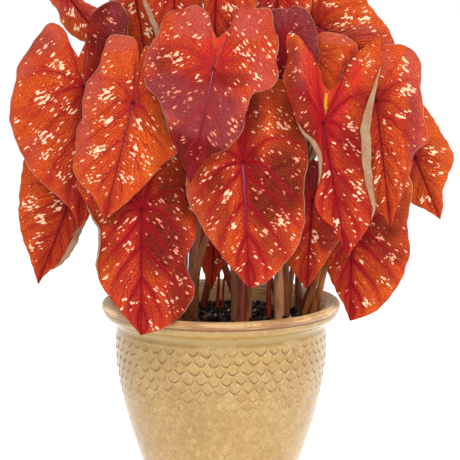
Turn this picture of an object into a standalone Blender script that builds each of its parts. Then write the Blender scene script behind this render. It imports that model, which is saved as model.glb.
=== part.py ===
"""Potted caladium: a glazed pot filled with potting soil, and a crown of heart-shaped
leaves, each blade hung from the top of its own petiole.

Frame: metres, +Z up, origin at the centre of the pot's flat foot, the plant's front at -Y.

The leaves are drawn in the front view, as a plant is drawn from life: on a sheet 460 mm
square that leans back with the line of sight and passes through the pot's axis.  A drawn
point is (across, down) in millimetres from the sheet's top left corner.  place() carries it
along its line of sight to its depth, which is the world Y in millimetres.  A leaf of the
back or the sides is drawn the same way, seen from its own side: turn is that side's angle.
"""

import bpy
import math

import numpy as np

MM = 0.001

# Pot
RIM_RADIUS = 120.0
RIM_BAND = 14.5
POT_HEIGHT = 205.0
BELLY_RADIUS = 106.0
BELLY_HEIGHT = 152.0
FOOT_RADIUS = 64.0
BELLY_CURVE = 1.55
WALL = 8.0
FLOOR = 12.0
FLOOR_FILLET = 6.0
WALL_HEIGHTS = (50.0, 95.0, 140.0)
BELLY_HEIGHTS = (140.0, 115.0, 90.0, 60.0, 30.0, 8.0)
POT_STEPS = 44

# Soil
SOIL_HEIGHT = 182.0
SOIL_BUMP = 2.2
SOIL_EDGE = 20.0
SOIL_RINGS = 7
SEAT_GAP = 0.3
TOP_GAP = 0.5
ROOT_DEPTH = 24.0
COLLAR_HEIGHT = 3.0
HOLE_SIDES = 10
HOLE_RISE = 12.0

# Drawing sheet
SHEET_CENTRE = 230.0
AXIS_ACROSS = 221.0
EYE_DISTANCE = 1600.0
EYE_HEIGHT = 510.0
EYE_TILT = math.radians(8.4)

# Blades and petioles
BLADE_THICKNESS = 0.9
RIBS = 14
LOBE_RIBS = 6
COLUMNS = (0.0, 0.52, 1.0)
CURL_STEPS = (0.34, 0.67, 1.0)
CURL_RADIUS = 2.6
CURL_LEAST = 1.6
FAN_ANGLE = math.radians(74.0)
RIB_BOW = 0.07
BOW_RISE = 1.4
MARGIN_WAVES = 5
WAVE_SHIFT = 0.05
MARGIN_SAMPLES = 120
LINE_SAMPLES = 40
PETIOLE_POINTS = 9
PETIOLE_TOP_RATIO = 0.5
PETIOLE_STRAIGHT = 0.15

GLAZE = ((0.66, 0.47, 0.24, 1.0), 0.25)
SOIL_COLOUR = ((0.012, 0.010, 0.010, 1.0), 0.95)
BLADE_COLOUR = ((0.62, 0.075, 0.025, 1.0), 0.45)
SHADED_BLADE_COLOUR = ((0.22, 0.02, 0.025, 1.0), 0.45)
PETIOLE_COLOUR = ((0.14, 0.055, 0.03, 1.0), 0.5)

# Each leaf: its joint with the petiole, the bottom of its sinus (notch) and its tip; the
# margin's points down either side, from notch to tip; the depth of the joint, and how far
# tip, lobes and the two sides stand behind it (minus is nearer).  belly is the swell of
# each half, wave the margin's waves, fold the share of the sides' bend that is a crease at
# the midrib.  curls roll a side's margin forward: where it starts and ends on the way from
# notch to tip, and how wide.  The petiole is rooted at root (x, y), passes the drawn points
# via, and is stem thick at its root.
LEAVES = [
    dict(
        name="leaf_far_left", joint=(83.5, 87), notch=(78.5, 57), tip=(79.5, 229),
        left=[(71, 45), (64, 29), (51, 22), (40, 33), (28, 50), (20, 61), (15, 82), (10, 105),
              (11.5, 130), (20, 150), (30, 170), (50, 190), (70, 209)],
        right=[(83, 47), (90, 30), (90, 16), (103, 4), (117, 0), (126, 10), (128, 38), (128, 65),
               (126, 95), (119, 125), (111, 160), (100, 193), (88, 217)],
        depth=-38, tip_back=-5, lobes_back=6, left_back=14, right_back=6, belly=4, wave=1.5,
        root=(-61, 10), via=[(170, 262, 8), (128, 165, -2), (95, 98, -12)], stem=6.4,
    ),
    dict(
        name="leaf_low_left", joint=(68, 206), notch=(64, 186), tip=(38, 284.5),
        left=[(54, 166), (41, 152), (28, 153), (22, 170), (20, 187), (18.5, 210), (21, 233),
              (27, 250), (33, 268)],
        right=[(73, 174), (84, 178), (91, 194), (88, 212), (80, 231), (70, 252), (58, 265),
               (46, 274)],
        depth=-4, tip_back=-14, lobes_back=4, left_back=8, right_back=-2, belly=2, wave=1.0,
        curls={"right": (0.38, 0.86, 9.0)},
        root=(-72, 30), via=[(166, 240, 28), (118, 185, 22), (84, 192, 10)], stem=5.2,
    ),
    dict(
        name="leaf_front_left", joint=(133, 103), notch=(139.5, 68), tip=(104, 221),
        left=[(139, 55), (134, 38), (124, 35), (111, 35), (104, 48), (98, 68), (87, 82),
              (83, 98), (82, 117), (76, 132), (76, 152), (72.5, 165), (78, 180), (92, 195),
              (99, 208)],
        right=[(141, 55), (147, 45), (155, 55), (159, 77), (162, 100), (164, 122), (172, 138),
               (178, 152), (168, 160), (152, 177), (138, 192), (120, 208)],
        depth=-80, tip_back=-18, lobes_back=16, left_back=12, right_back=16, belly=4, wave=1.5,
        root=(-50, -10), via=[(160, 250, -25), (143, 160, -42), (135, 112, -64)], stem=6.6,
    ),
    dict(
        name="leaf_top_centre", joint=(213.5, 69), notch=(217, 39), tip=(190, 184),
        left=[(212, 27), (208, 13), (195, 5), (182, 9), (168, 12), (158, 33), (148, 50),
              (143.5, 66), (147, 88), (157, 97), (163, 112), (169, 132), (176, 149), (184, 167)],
        right=[(225, 32), (233, 22), (236, 11), (246, 5), (258, 8.5), (269, 7.5), (274, 25),
               (279, 45), (276, 61), (279, 78), (268, 89), (254, 94), (247, 108), (242, 132),
               (229, 147), (208, 159), (196, 173)],
        depth=-92, tip_back=-6, lobes_back=30, left_back=9, right_back=9, belly=4, wave=2.0,
        root=(-33, -25), via=[(194, 262, -34), (204, 180, -44), (211, 92, -60)], stem=7.4,
    ),
    dict(
        name="leaf_front_centre", joint=(243, 162.5), notch=(240, 136), tip=(249.5, 288.5),
        left=[(236, 118), (226, 108), (212, 114), (200, 134), (191, 158), (186, 182), (188, 200),
              (196, 216), (206, 234), (218, 251), (234, 271)],
        right=[(241, 116), (248, 96), (264, 84), (283, 80), (290, 95), (297, 119), (306, 140),
               (308, 158), (304, 190), (305, 220), (297, 247), (282, 267), (263, 284)],
        depth=-70, tip_back=-24, lobes_back=16, left_back=-3, right_back=7, belly=5, wave=1.5,
        root=(-28, -11), via=[(199, 262, -20), (219, 210, -32), (238, 170, -50)], stem=7.6,
    ),
    dict(
        name="leaf_right_centre", joint=(323, 123), notch=(332, 91), tip=(347, 259),
        left=[(326, 88), (320, 69), (308, 49), (297, 35), (288, 33), (286, 46), (288, 58),
              (283, 76), (289, 99), (300, 127), (313, 144), (320, 160), (319, 183), (315, 205),
              (323, 219), (340, 230), (349, 246)],
        right=[(338, 84), (344, 73), (351, 60), (364, 47), (380, 38.5), (381, 58), (377, 80),
               (372, 102), (369, 125), (369, 150), (371, 185), (373, 213), (364, 234), (354, 247)],
        depth=-62, tip_back=-34, lobes_back=-4, left_back=-18, right_back=-20, belly=1.5,
        wave=1.0, fold=0.30, curls={"right": (0.34, 0.84, 11.0), "left": (0.53, 0.77, 9.0)},
        root=(66, 2), via=[(287, 262, -2), (303, 175, -8), (319, 132, -36)], stem=5.6,
    ),
    dict(
        name="leaf_right_upper", joint=(376, 101), notch=(371, 77), tip=(391, 228),
        left=[(365, 64), (356, 62), (348, 76), (345, 98), (346, 124), (350, 150), (358, 175),
              (371, 199), (382, 214)],
        right=[(374, 58), (380, 45), (393, 44), (412, 49), (420, 60), (421, 85), (424, 115),
               (427, 142), (416, 151), (410, 172), (402, 196), (395, 214)],
        depth=-40, tip_back=-26, lobes_back=12, left_back=14, right_back=12, belly=4, wave=1.5,
        root=(93, 6), via=[(330, 250, 0), (356, 165, -2), (372, 112, -18)], stem=6.0,
    ),
    dict(
        name="leaf_far_right", joint=(415, 158), notch=(413, 134), tip=(440.5, 219.5),
        left=[(406, 119), (398, 126), (394, 146), (396, 170), (403, 192), (411, 203),
              (424, 209)],
        right=[(414, 115), (422, 105), (433, 118), (443, 135), (454, 158), (449, 174), (443, 191),
               (443, 207)],
        depth=14, tip_back=-12, lobes_back=8, left_back=4, right_back=10, belly=3, wave=1.5,
        root=(67, 45), via=[(296, 255, 44), (346, 170, 44), (398, 151, 36)], stem=5.4,
    ),
    dict(
        name="leaf_low_right", joint=(352, 232), notch=(353, 208), tip=(350, 321),
        left=[(347, 192), (336, 187), (326, 197), (321, 216), (322, 241), (325, 262), (333, 285),
              (344, 306)],
        right=[(360, 190), (376, 173), (394, 168), (408, 174), (413, 190), (409, 210),
               (408, 230), (410, 252), (404, 274), (391, 296), (376, 311), (361, 318)],
        depth=-22, tip_back=-26, lobes_back=6, left_back=8, right_back=12, belly=5, wave=1.5,
        root=(86, 22), via=[(319, 272, 14), (330, 244, 8), (344, 232, -2)], stem=5.8,
    ),
    dict(
        name="leaf_low_front", joint=(141.5, 209), notch=(140, 190), tip=(141, 335.5),
        left=[(132, 177), (116, 168), (98, 166), (82, 173), (76, 182), (83, 198), (92, 215),
              (99, 229), (100, 246), (97, 268), (101, 284), (112, 301), (128, 320)],
        right=[(148, 174), (160, 162), (173, 158), (184, 172), (192, 190), (197, 212),
               (195, 240), (186, 260), (190, 277), (195, 286), (188, 307), (170, 325),
               (150, 333)],
        depth=-74, tip_back=-47, lobes_back=20, left_back=8, right_back=8, belly=4, wave=1.5,
        curls={"left": (0.42, 0.72, 5.0)},
        root=(-42, -35), via=[(175, 290, -48), (158, 240, -52), (145, 212, -62)], stem=7.0,
    ),
    dict(
        name="leaf_top_left", joint=(64, -8), notch=(58, -22), tip=(122, 66),
        left=[(52, -34), (40, -28), (41, -14), (49, 0), (57, 10), (61, 22), (70, 34), (84, 42),
              (102, 55)],
        right=[(66, -34), (80, -32), (84, -14), (84, 0), (97, 8), (110, 22), (121, 44)],
        depth=6, tip_back=6, lobes_back=6, left_back=6, right_back=8, belly=2, wave=1.0,
        root=(-54, 35), via=[(158, 215, 34), (114, 110, 32), (78, 10, 24)], stem=5.2,
    ),
    dict(
        name="leaf_scarlet", joint=(134, -14), notch=(132, -32), tip=(150, 84),
        left=[(124, -44), (111, -38), (108, -18), (110, 8), (117, 36), (130, 64)],
        right=[(142, -45), (157, -38), (166, -14), (169, 14), (167, 44), (160, 68)],
        depth=-4, tip_back=-6, lobes_back=20, left_back=8, right_back=8, belly=2, wave=1.0,
        root=(-39, 15), via=[(184, 190, 16), (165, 100, 14), (138, -4, 10)], stem=5.6,
    ),
    dict(
        name="leaf_dark_red", joint=(173, -12), notch=(172, -28), tip=(180, 88),
        left=[(164, -40), (150, -38), (141, -20), (144, 0), (150, 16), (157, 34), (165, 60)],
        right=[(182, -40), (194, -34), (199, -14), (198, 10), (197, 40), (190, 68)],
        depth=-32, tip_back=-10, lobes_back=20, left_back=-2, right_back=8, belly=3, wave=1.0,
        curls={"left": (0.34, 0.80, 8.0)},
        root=(-32, 30), via=[(192, 200, 24), (186, 110, 8), (176, -2, -14)], stem=5.8,
    ),
    dict(
        name="leaf_top_inner", joint=(217, -22), notch=(217, -38), tip=(213, 76),
        left=[(211, -50), (202, -46), (202, -22), (204, 2), (203, 28), (206, 54)],
        right=[(226, -52), (242, -48), (251, -26), (253, 0), (248, 28), (232, 56)],
        depth=-36, tip_back=-12, lobes_back=22, left_back=6, right_back=8, belly=3, wave=1.0,
        root=(14, -25), via=[(235, 262, -22), (229, 140, -14), (219, -10, -18)], stem=7.0,
    ),
    dict(
        name="leaf_top_behind", joint=(279, -16), notch=(280, -32), tip=(268, 84),
        left=[(272, -46), (257, -42), (250, -22), (253, 4), (252, 34), (258, 62)],
        right=[(290, -46), (304, -40), (312, -18), (310, 12), (299, 42), (284, 66)],
        depth=-4, tip_back=-6, lobes_back=20, left_back=6, right_back=6, belly=3, wave=1.0,
        root=(20, -40), via=[(243, 262, -30), (250, 130, -2), (276, 2, 12)], stem=5.6,
    ),
    dict(
        name="leaf_maroon", joint=(287, 38), notch=(288, 20), tip=(300, 140),
        left=[(285, 9), (274, 9), (264, 24), (261, 48), (266, 76), (276, 102), (288, 124)],
        right=[(293, 6), (305, 9), (313, 20), (318, 42), (319, 66), (316, 94), (309, 122)],
        depth=-36, tip_back=6, lobes_back=6, left_back=6, right_back=6, belly=3, wave=1.0,
        root=(26, -20), via=[(249, 262, -24), (266, 150, -16), (285, 54, -25)], stem=7.0,
        shaded=True,
    ),
    dict(
        name="leaf_top_right", joint=(318, 26), notch=(307, 21), tip=(401, 72),
        left=[(298, 34), (306, 56), (326, 76), (352, 86), (381, 83)],
        right=[(299, 5), (303, -20), (322, -38), (345, -33), (362, -8), (375, 12), (390, 31),
               (396, 50)],
        depth=2, tip_back=-4, lobes_back=16, left_back=4, right_back=14, belly=4, wave=1.5,
        root=(58.5, -7), via=[(279, 262, 0), (290, 140, 12), (312, 48, 22)], stem=8.4,
    ),
    dict(
        name="leaf_orange", joint=(313, 56), notch=(312, 42), tip=(320, 118),
        left=[(306, 35), (297, 42), (293, 62), (297, 84), (308, 104)],
        right=[(320, 33), (336, 33), (348, 37), (358, 48), (350, 60), (341, 76), (332, 98)],
        depth=-24, tip_back=-2, lobes_back=2, left_back=3, right_back=3, belly=2, wave=0.8,
        root=(60, 27), via=[(284, 262, 26), (301, 150, 8), (312, 72, -4)], stem=5.6,
    ),
    dict(
        name="leaf_low_centre", joint=(312, 200), notch=(313, 180), tip=(306.5, 289),
        left=[(310, 162), (304, 148), (293, 150), (284, 174), (279, 205), (279, 232), (284, 257),
              (297, 277)],
        right=[(316, 161), (324, 149), (337, 166), (346, 192), (347, 217), (343, 234), (333, 250),
               (318, 273)],
        depth=-38, tip_back=-6, lobes_back=4, left_back=5, right_back=9, belly=3, wave=1.0,
        root=(48, 0), via=[(270, 275, -8), (284, 232, -14), (304, 204, -22)], stem=4.4,
    ),
    dict(
        name="leaf_small", joint=(215, 228), notch=(215, 218), tip=(211.5, 290),
        left=[(210, 210), (202, 212), (198, 226), (198, 245), (202, 268)],
        right=[(221, 209), (231, 213), (235, 230), (231, 252), (219, 274)],
        depth=-4, tip_back=-4, lobes_back=4, left_back=5, right_back=5, belly=1.5, wave=0.6,
        root=(-4, 46), via=[(219, 268, 34), (218, 240, 18)], stem=3.2,
    ),
    dict(
        name="leaf_back_centre", turn=180, joint=(232, 72), notch=(229, 46), tip=(238, 196),
        left=[(222, 26), (203, 14), (184, 26), (174, 54), (175, 92), (186, 128), (204, 162),
              (223, 184)],
        right=[(240, 28), (258, 15), (279, 26), (291, 56), (290, 94), (280, 130), (264, 164),
               (250, 184)],
        depth=-124, tip_back=-18, lobes_back=24, left_back=12, right_back=12, belly=4, wave=2.0,
        root=(19, 52), via=[(224, 262, -56), (226, 160, -56), (230, 98, -78)], stem=6.6,
    ),
    dict(
        name="leaf_back_left", turn=165, joint=(330, 98), notch=(334, 72), tip=(352, 214),
        left=[(327, 54), (312, 42), (293, 52), (284, 80), (286, 116), (300, 152), (322, 184),
              (340, 202)],
        right=[(344, 55), (361, 46), (378, 60), (387, 90), (388, 124), (382, 158), (370, 188),
               (360, 203)],
        depth=-86, tip_back=-14, lobes_back=20, left_back=12, right_back=12, belly=4, wave=2.0,
        root=(-18, 62), via=[(248, 262, -60), (284, 170, -56), (322, 108, -64)], stem=6.2,
    ),
    dict(
        name="leaf_back_right", turn=195, joint=(122, 90), notch=(118, 64), tip=(98, 206),
        left=[(110, 46), (92, 38), (74, 52), (64, 82), (62, 116), (68, 150), (80, 182), (90, 198)],
        right=[(126, 45), (142, 36), (160, 48), (168, 78), (166, 112), (152, 148), (128, 180),
               (110, 198)],
        depth=-86, tip_back=-14, lobes_back=20, left_back=12, right_back=12, belly=4, wave=2.0,
        root=(64, 66), via=[(166, 262, -56), (142, 170, -50), (128, 100, -64)], stem=6.2,
    ),
    dict(
        name="leaf_back_low", turn=180, joint=(214, 160), notch=(214, 137), tip=(206, 258),
        left=[(207, 119), (192, 112), (177, 122), (166, 146), (164, 176), (171, 208), (185, 235),
              (198, 250)],
        right=[(222, 120), (238, 111), (253, 122), (261, 147), (259, 176), (249, 208), (232, 235),
               (216, 249)],
        depth=-85, tip_back=-12, lobes_back=4, left_back=6, right_back=8, belly=4, wave=1.6,
        root=(14, 76), via=[(210, 262, -74), (212, 210, -68), (213, 172, -73)], stem=5.6,
    ),
    dict(
        name="leaf_side_left", turn=-112, joint=(206, 118), notch=(208, 93), tip=(206, 226),
        left=[(201, 76), (185, 66), (168, 76), (159, 102), (159, 134), (168, 168), (184, 199),
              (198, 216)],
        right=[(216, 76), (232, 67), (247, 78), (255, 104), (254, 136), (245, 168), (230, 198),
               (215, 216)],
        depth=-156, tip_back=-20, lobes_back=16, left_back=10, right_back=10, belly=4, wave=1.6,
        root=(-79, 50), via=[(206, 262, -96), (206, 184, -112), (206, 132, -136)], stem=5.8,
    ),
    dict(
        name="leaf_side_right", turn=108, joint=(250, 100), notch=(248, 74), tip=(244, 216),
        left=[(241, 56), (224, 46), (207, 57), (198, 84), (198, 118), (207, 154), (222, 186),
              (235, 206)],
        right=[(256, 56), (272, 46), (288, 58), (296, 86), (295, 120), (286, 154), (270, 186),
               (254, 206)],
        depth=-140, tip_back=-20, lobes_back=18, left_back=10, right_back=10, belly=4, wave=1.6,
        root=(80, 46), via=[(246, 262, -92), (250, 180, -100), (250, 114, -120)], stem=6.0,
    ),
    dict(
        name="leaf_low_side_left", turn=-95, joint=(184, 172), notch=(186, 152), tip=(180, 256),
        left=[(179, 138), (165, 131), (152, 142), (147, 164), (148, 190), (156, 220), (168, 242)],
        right=[(193, 138), (206, 132), (219, 143), (223, 166), (220, 192), (210, 220), (194, 243)],
        depth=-146, tip_back=-18, lobes_back=6, left_back=8, right_back=8, belly=3, wave=1.4,
        root=(-88, 22), via=[(190, 275, -102), (188, 216, -116), (185, 180, -130)], stem=5.0,
    ),
    dict(
        name="leaf_low_side_right", turn=80, joint=(282, 220), notch=(282, 202), tip=(286, 298),
        left=[(277, 190), (265, 185), (254, 194), (249, 214), (251, 240), (260, 266), (274, 288)],
        right=[(289, 190), (301, 185), (312, 195), (317, 216), (316, 242), (308, 268), (296, 288)],
        depth=-138, tip_back=-16, lobes_back=6, left_back=8, right_back=8, belly=3, wave=1.4,
        root=(83, 38), via=[(262, 282, -94), (276, 250, -104), (282, 229, -120)], stem=5.0,
    ),
]

# The furled young leaf: a thin stem with a pointed roll on it.
SPROUT_ROOT = (1.0, 52.0)
SPROUT_VIA = [(224, 282, 46), (227, 264, 38), (231, 236, 22)]
SPROUT_TIP = (234, 210, 8)
SPROUT_DIAMETER = 2.2
SPROUT_ROLL_DIAMETER = 4.4
SPROUT_ROLL_AT = 0.72
SPROUT_ROLL_LENGTH = 0.13
SPROUT_POINT_LENGTH = 0.2
SPROUT_POINT_LEAST = 0.12


def place(drawn, turn=0.0):
    """World points in metres of drawn points (across, down, depth in mm), seen from turn."""
    across, down, depth = np.moveaxis(np.asarray(drawn, dtype=float), -1, 0)
    sheet = EYE_DISTANCE / math.cos(EYE_TILT)
    right = (across - SHEET_CENTRE) / sheet
    up = (SHEET_CENTRE - down) / sheet
    forward_y = math.cos(EYE_TILT) + up * math.sin(EYE_TILT)
    forward_z = -math.sin(EYE_TILT) + up * math.cos(EYE_TILT)
    reach = (depth + EYE_DISTANCE) / forward_y
    x = SHEET_CENTRE - AXIS_ACROSS + reach * right
    y = depth
    z = EYE_HEIGHT + reach * forward_z
    angle = math.radians(turn)
    turned_x = x * math.cos(angle) - y * math.sin(angle)
    turned_y = x * math.sin(angle) + y * math.cos(angle)
    return np.stack([turned_x, turned_y, z], axis=-1) * MM


def smooth_line(points, samples):
    """Points evenly spaced along a smooth curve through the given ones (Catmull-Rom)."""
    points = np.asarray(points, dtype=float)
    chords = np.linalg.norm(np.diff(points, axis=0), axis=1)
    knots = np.concatenate([[0.0], np.cumsum(chords)])
    tangents = np.gradient(points, knots, axis=0)
    fine = np.linspace(0.0, knots[-1], LINE_SAMPLES * len(points))
    span = np.clip(np.searchsorted(knots, fine, side="right") - 1, 0, len(points) - 2)
    length = chords[span][:, None]
    t = ((fine - knots[span]) / chords[span])[:, None]
    curve = ((2 * t**3 - 3 * t**2 + 1) * points[span]
             + (t**3 - 2 * t**2 + t) * length * tangents[span]
             + (3 * t**2 - 2 * t**3) * points[span + 1]
             + (t**3 - t**2) * length * tangents[span + 1])
    steps = np.linalg.norm(np.diff(curve, axis=0), axis=1)
    travelled = np.concatenate([[0.0], np.cumsum(steps)])
    wanted = np.linspace(0.0, travelled[-1], samples)
    return np.stack([np.interp(wanted, travelled, curve[:, k]) for k in range(points.shape[1])],
                    axis=-1)


def leaf_axes(leaf):
    """Joint, length of the midrib, and the drawn unit directions along and across it."""
    joint = np.array(leaf["joint"], dtype=float)
    midrib = np.array(leaf["tip"], dtype=float) - joint
    length = np.linalg.norm(midrib)
    along = midrib / length
    across = np.array([along[1], -along[0]])
    return joint, length, along, across


def margin_of(leaf, side, samples):
    """The margin of one half, from the notch to the tip."""
    return smooth_line([leaf["notch"], *leaf[side], leaf["tip"]], samples)


def rib_shares(leaf, side):
    """Where each rib ends on the way from notch to tip (0 to 1).  The lobe's ribs share the
    stretch up to where the margin comes level with the joint, and the rest share what is left."""
    joint, _, along, _ = leaf_axes(leaf)
    offset = margin_of(leaf, side, MARGIN_SAMPLES) - joint
    slant = np.arccos(np.clip(offset @ along / np.linalg.norm(offset, axis=1), -1, 1))
    level = np.argmax(slant < FAN_ANGLE) / (MARGIN_SAMPLES - 1)
    return np.interp(np.arange(RIBS + 1), [0, LOBE_RIBS, RIBS], [0.0, level, 1.0])


def half_blade(leaf, side):
    """Drawn points (rib, column, 2) of one half, and each rib's share of the margin.

    Rib i runs from the spine to the margin.  Over the lobe all ribs fan out from the joint;
    past it they leave the midrib in turn, bowed towards the base as the side veins are.
    """
    joint, length, along, _ = leaf_axes(leaf)
    share = rib_shares(leaf, side)
    fine = margin_of(leaf, side, MARGIN_SAMPLES)
    position = np.linspace(0.0, 1.0, MARGIN_SAMPLES)
    margin = np.stack([np.interp(share, position, fine[:, k]) for k in (0, 1)], axis=-1)
    travel = np.clip((np.arange(RIBS + 1) - LOBE_RIBS) / (RIBS - LOBE_RIBS), 0.0, 1.0)
    spine = joint + (travel * length)[:, None] * along
    v = np.asarray(COLUMNS)[None, :, None]
    rib_length = np.linalg.norm(margin - spine, axis=1)
    bow = RIB_BOW * rib_length * np.sin(np.pi * np.clip(BOW_RISE * travel, 0, 1))
    grid = spine[:, None, :] * (1 - v) + margin[:, None, :] * v
    return grid - (4 * v * (1 - v)) * bow[:, None, None] * along, share


def blade_depth(leaf, drawn, v, rib_share):
    """Depth of the blade: a parabola along the midrib through lobes, joint and tip, sides
    that bend back with the square of their distance, a fold along the midrib, a swell in
    each half and waves that grow towards the margin."""
    joint, length, along, across = leaf_axes(leaf)
    s = (drawn - joint) @ along
    t = (drawn - joint) @ across
    outline = np.concatenate([margin_of(leaf, side, MARGIN_SAMPLES) for side in ("left", "right")])
    base = -np.min((outline - joint) @ along)
    reach_right = np.max((outline - joint) @ across)
    reach_left = -np.min((outline - joint) @ across)
    bend = (leaf["lobes_back"] / base + leaf["tip_back"] / length) / (base + length)
    slope = leaf["tip_back"] / length - bend * length
    depth = leaf["depth"] + bend * s**2 + slope * s
    share = np.where(t > 0, t / reach_right, -t / reach_left)
    side = np.where(t > 0, leaf["right_back"], leaf["left_back"])
    fold = leaf.get("fold", 0.0)
    depth = depth + side * ((1 - fold) * share**2 + fold * share)
    middle = np.sin(np.pi * rib_share)
    depth = depth - leaf["belly"] * np.sin(np.pi * v) * middle
    waves = np.sin(2 * np.pi * MARGIN_WAVES * rib_share + WAVE_SHIFT * joint[0])
    return depth + leaf["wave"] * v**3 * waves * middle


def curl_strip(curl, half, share):
    """Drawn points and depth offsets of the margin's curl: it turns through half a circle
    towards the front and lies back over the blade, widest in the middle of its stretch."""
    start, end, width = curl
    bump = np.sin(np.pi * np.clip((share - start) / (end - start), 0, 1))
    reach = np.maximum(width * np.sqrt(bump), CURL_LEAST)
    reach[0] = reach[-1] = 0.0
    radius = np.minimum(CURL_RADIUS, reach / (math.pi + 0.5))[:, None]
    travelled = reach[:, None] * np.asarray(CURL_STEPS)[None, :]
    turn = np.minimum(travelled / np.maximum(radius, 1e-6), math.pi)
    out = radius * np.sin(turn) - np.maximum(travelled - math.pi * radius, 0.0)
    nearer = -radius * (1 - np.cos(turn))
    edge = half[:, -1, :]
    outward = edge - half[:, -2, :]
    outward = outward / (np.linalg.norm(outward, axis=1)[:, None] + 1e-9)
    return edge[:, None, :] + out[..., None] * outward[:, None, :], nearer


def blade_half_points(leaf, side):
    """World points (rib, column, 3) of one half of the blade, with its curl if it has one."""
    half, share = half_blade(leaf, side)
    depth = blade_depth(leaf, half, np.asarray(COLUMNS)[None, :], share[:, None])
    curl = leaf.get("curls", {}).get(side)
    if curl:
        strip, nearer = curl_strip(curl, half, share)
        half = np.concatenate([half, strip], axis=1)
        depth = np.concatenate([depth, depth[:, -1:] + nearer], axis=1)
    return place(np.concatenate([half, depth[..., None]], axis=-1), leaf.get("turn", 0.0))


def blade_mesh(leaf):
    """Open triangle mesh of the upper face: the two halves share the spine, the joint, the
    line to the notch and the tip."""
    points = []
    faces = []
    shared = {}

    def vertex(position):
        key = tuple(np.round(position * 1e6).astype(int))
        if key not in shared:
            shared[key] = len(points)
            points.append(position)
        return shared[key]

    for side in ("left", "right"):
        grid = blade_half_points(leaf, side)
        index = [[vertex(p) for p in row] for row in grid]
        for i in range(len(index) - 1):
            for j in range(len(index[0]) - 1):
                a, b = index[i][j], index[i][j + 1]
                c, d = index[i + 1][j + 1], index[i + 1][j]
                for face in ((a, b, c), (a, c, d)):
                    if len(set(face)) == 3:
                        faces.append(face if side == "left" else face[::-1])
    return points, faces


def joint_seat(leaf, comes_from, radius):
    """Where the petiole's axis ends: behind the blade, its end face a gap off the blade."""
    points, faces = blade_mesh(leaf)
    turn = leaf.get("turn", 0.0)
    joint = place([*leaf["joint"], leaf["depth"]], turn)
    points = np.array(points)
    hub = int(np.argmin(np.linalg.norm(points - joint, axis=1)))
    round_hub = points[np.array([face for face in faces if hub in face])]
    behind = -np.cross(round_hub[:, 1] - round_hub[:, 0], round_hub[:, 2] - round_hub[:, 0])
    behind = behind.sum(axis=0) / np.linalg.norm(behind.sum(axis=0))
    towards = comes_from - points[hub]
    cosine = towards @ behind / np.linalg.norm(towards)
    tilt = math.sqrt(max(1.0 - cosine**2, 0.0))
    return points[hub] + behind * (MM * (BLADE_THICKNESS + TOP_GAP) + radius * tilt)


def material(name, look, metallic=0.0):
    colour, roughness = look
    made = bpy.data.materials.new(name)
    made.use_nodes = True
    shader = made.node_tree.nodes["Principled BSDF"]
    shader.inputs["Base Color"].default_value = colour
    shader.inputs["Roughness"].default_value = roughness
    shader.inputs["Metallic"].default_value = metallic
    made.diffuse_color = colour
    return made


def mesh_object(name, points, faces, look, collection):
    mesh = bpy.data.meshes.new(name)
    mesh.from_pydata([tuple(p) for p in points], [], faces)
    mesh.validate()
    mesh.materials.append(look)
    mesh.shade_smooth()
    made = bpy.data.objects.new(name, mesh)
    collection.objects.link(made)
    return made


def build_blade(leaf, look, collection):
    """A thin waved blade: the upper face, given its thickness downwards."""
    points, faces = blade_mesh(leaf)
    blade = mesh_object(leaf["name"], points, faces, look, collection)
    thickness = blade.modifiers.new("thickness", "SOLIDIFY")
    thickness.thickness = BLADE_THICKNESS * MM
    thickness.offset = -1.0
    return blade


def rooted_end(x, y):
    """World points at the foot of a stem: its bottom in the hole, and just above the soil."""
    heights = (SOIL_HEIGHT - ROOT_DEPTH, SOIL_HEIGHT + COLLAR_HEIGHT)
    return [np.array([x, y, z]) * MM for z in heights]


def stem_path(leaf):
    """World points of a petiole: straight up out of the soil, through its drawn points, and
    up behind the blade to its joint."""
    x, y = leaf["root"]
    bottom, collar = rooted_end(x, y)
    drawn = place(np.array(leaf["via"], dtype=float), leaf.get("turn", 0.0))
    top = joint_seat(leaf, drawn[-1], 0.5 * MM * leaf["stem"] * PETIOLE_TOP_RATIO)
    return np.vstack([bottom, smooth_line([collar, *drawn, top], PETIOLE_POINTS - 1)])


def build_tube(name, path, radii, look, collection):
    """A tapering round stem along a path, closed at both ends."""
    curve = bpy.data.curves.new(name, "CURVE")
    curve.dimensions = "3D"
    curve.bevel_depth = 1.0
    curve.bevel_resolution = 1
    curve.use_fill_caps = True
    spline = curve.splines.new("POLY")
    spline.points.add(len(path) - 1)
    for point, position, radius in zip(spline.points, path, radii):
        point.co = (*position, 1.0)
        point.radius = radius
    curve.materials.append(look)
    made = bpy.data.objects.new(name, curve)
    collection.objects.link(made)
    return made


def build_petiole(leaf, look, collection):
    path = stem_path(leaf)
    share = np.clip(np.linspace(-PETIOLE_STRAIGHT, 1.0, len(path)), 0.0, 1.0)
    radii = 0.5 * leaf["stem"] * MM * (1.0 - (1.0 - PETIOLE_TOP_RATIO) * share)
    return build_tube(leaf["name"].replace("leaf", "petiole"), path, radii, look, collection)


def build_sprout(look, collection):
    """The furled leaf: a thin stem that swells to its roll and ends in a point."""
    bottom, collar = rooted_end(*SPROUT_ROOT)
    drawn = place([*SPROUT_VIA, SPROUT_TIP])
    path = np.vstack([bottom, smooth_line([collar, *drawn], PETIOLE_POINTS)])
    share = np.linspace(0.0, 1.0, len(path))
    swell = np.exp(-((share - SPROUT_ROLL_AT) / SPROUT_ROLL_LENGTH) ** 2)
    point = np.clip((1.0 - share) / SPROUT_POINT_LENGTH, SPROUT_POINT_LEAST, 1.0)
    radii = 0.5 * MM * (SPROUT_DIAMETER + (SPROUT_ROLL_DIAMETER - SPROUT_DIAMETER) * swell) * point
    return build_tube("sprout", path, radii, look, collection)


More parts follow.
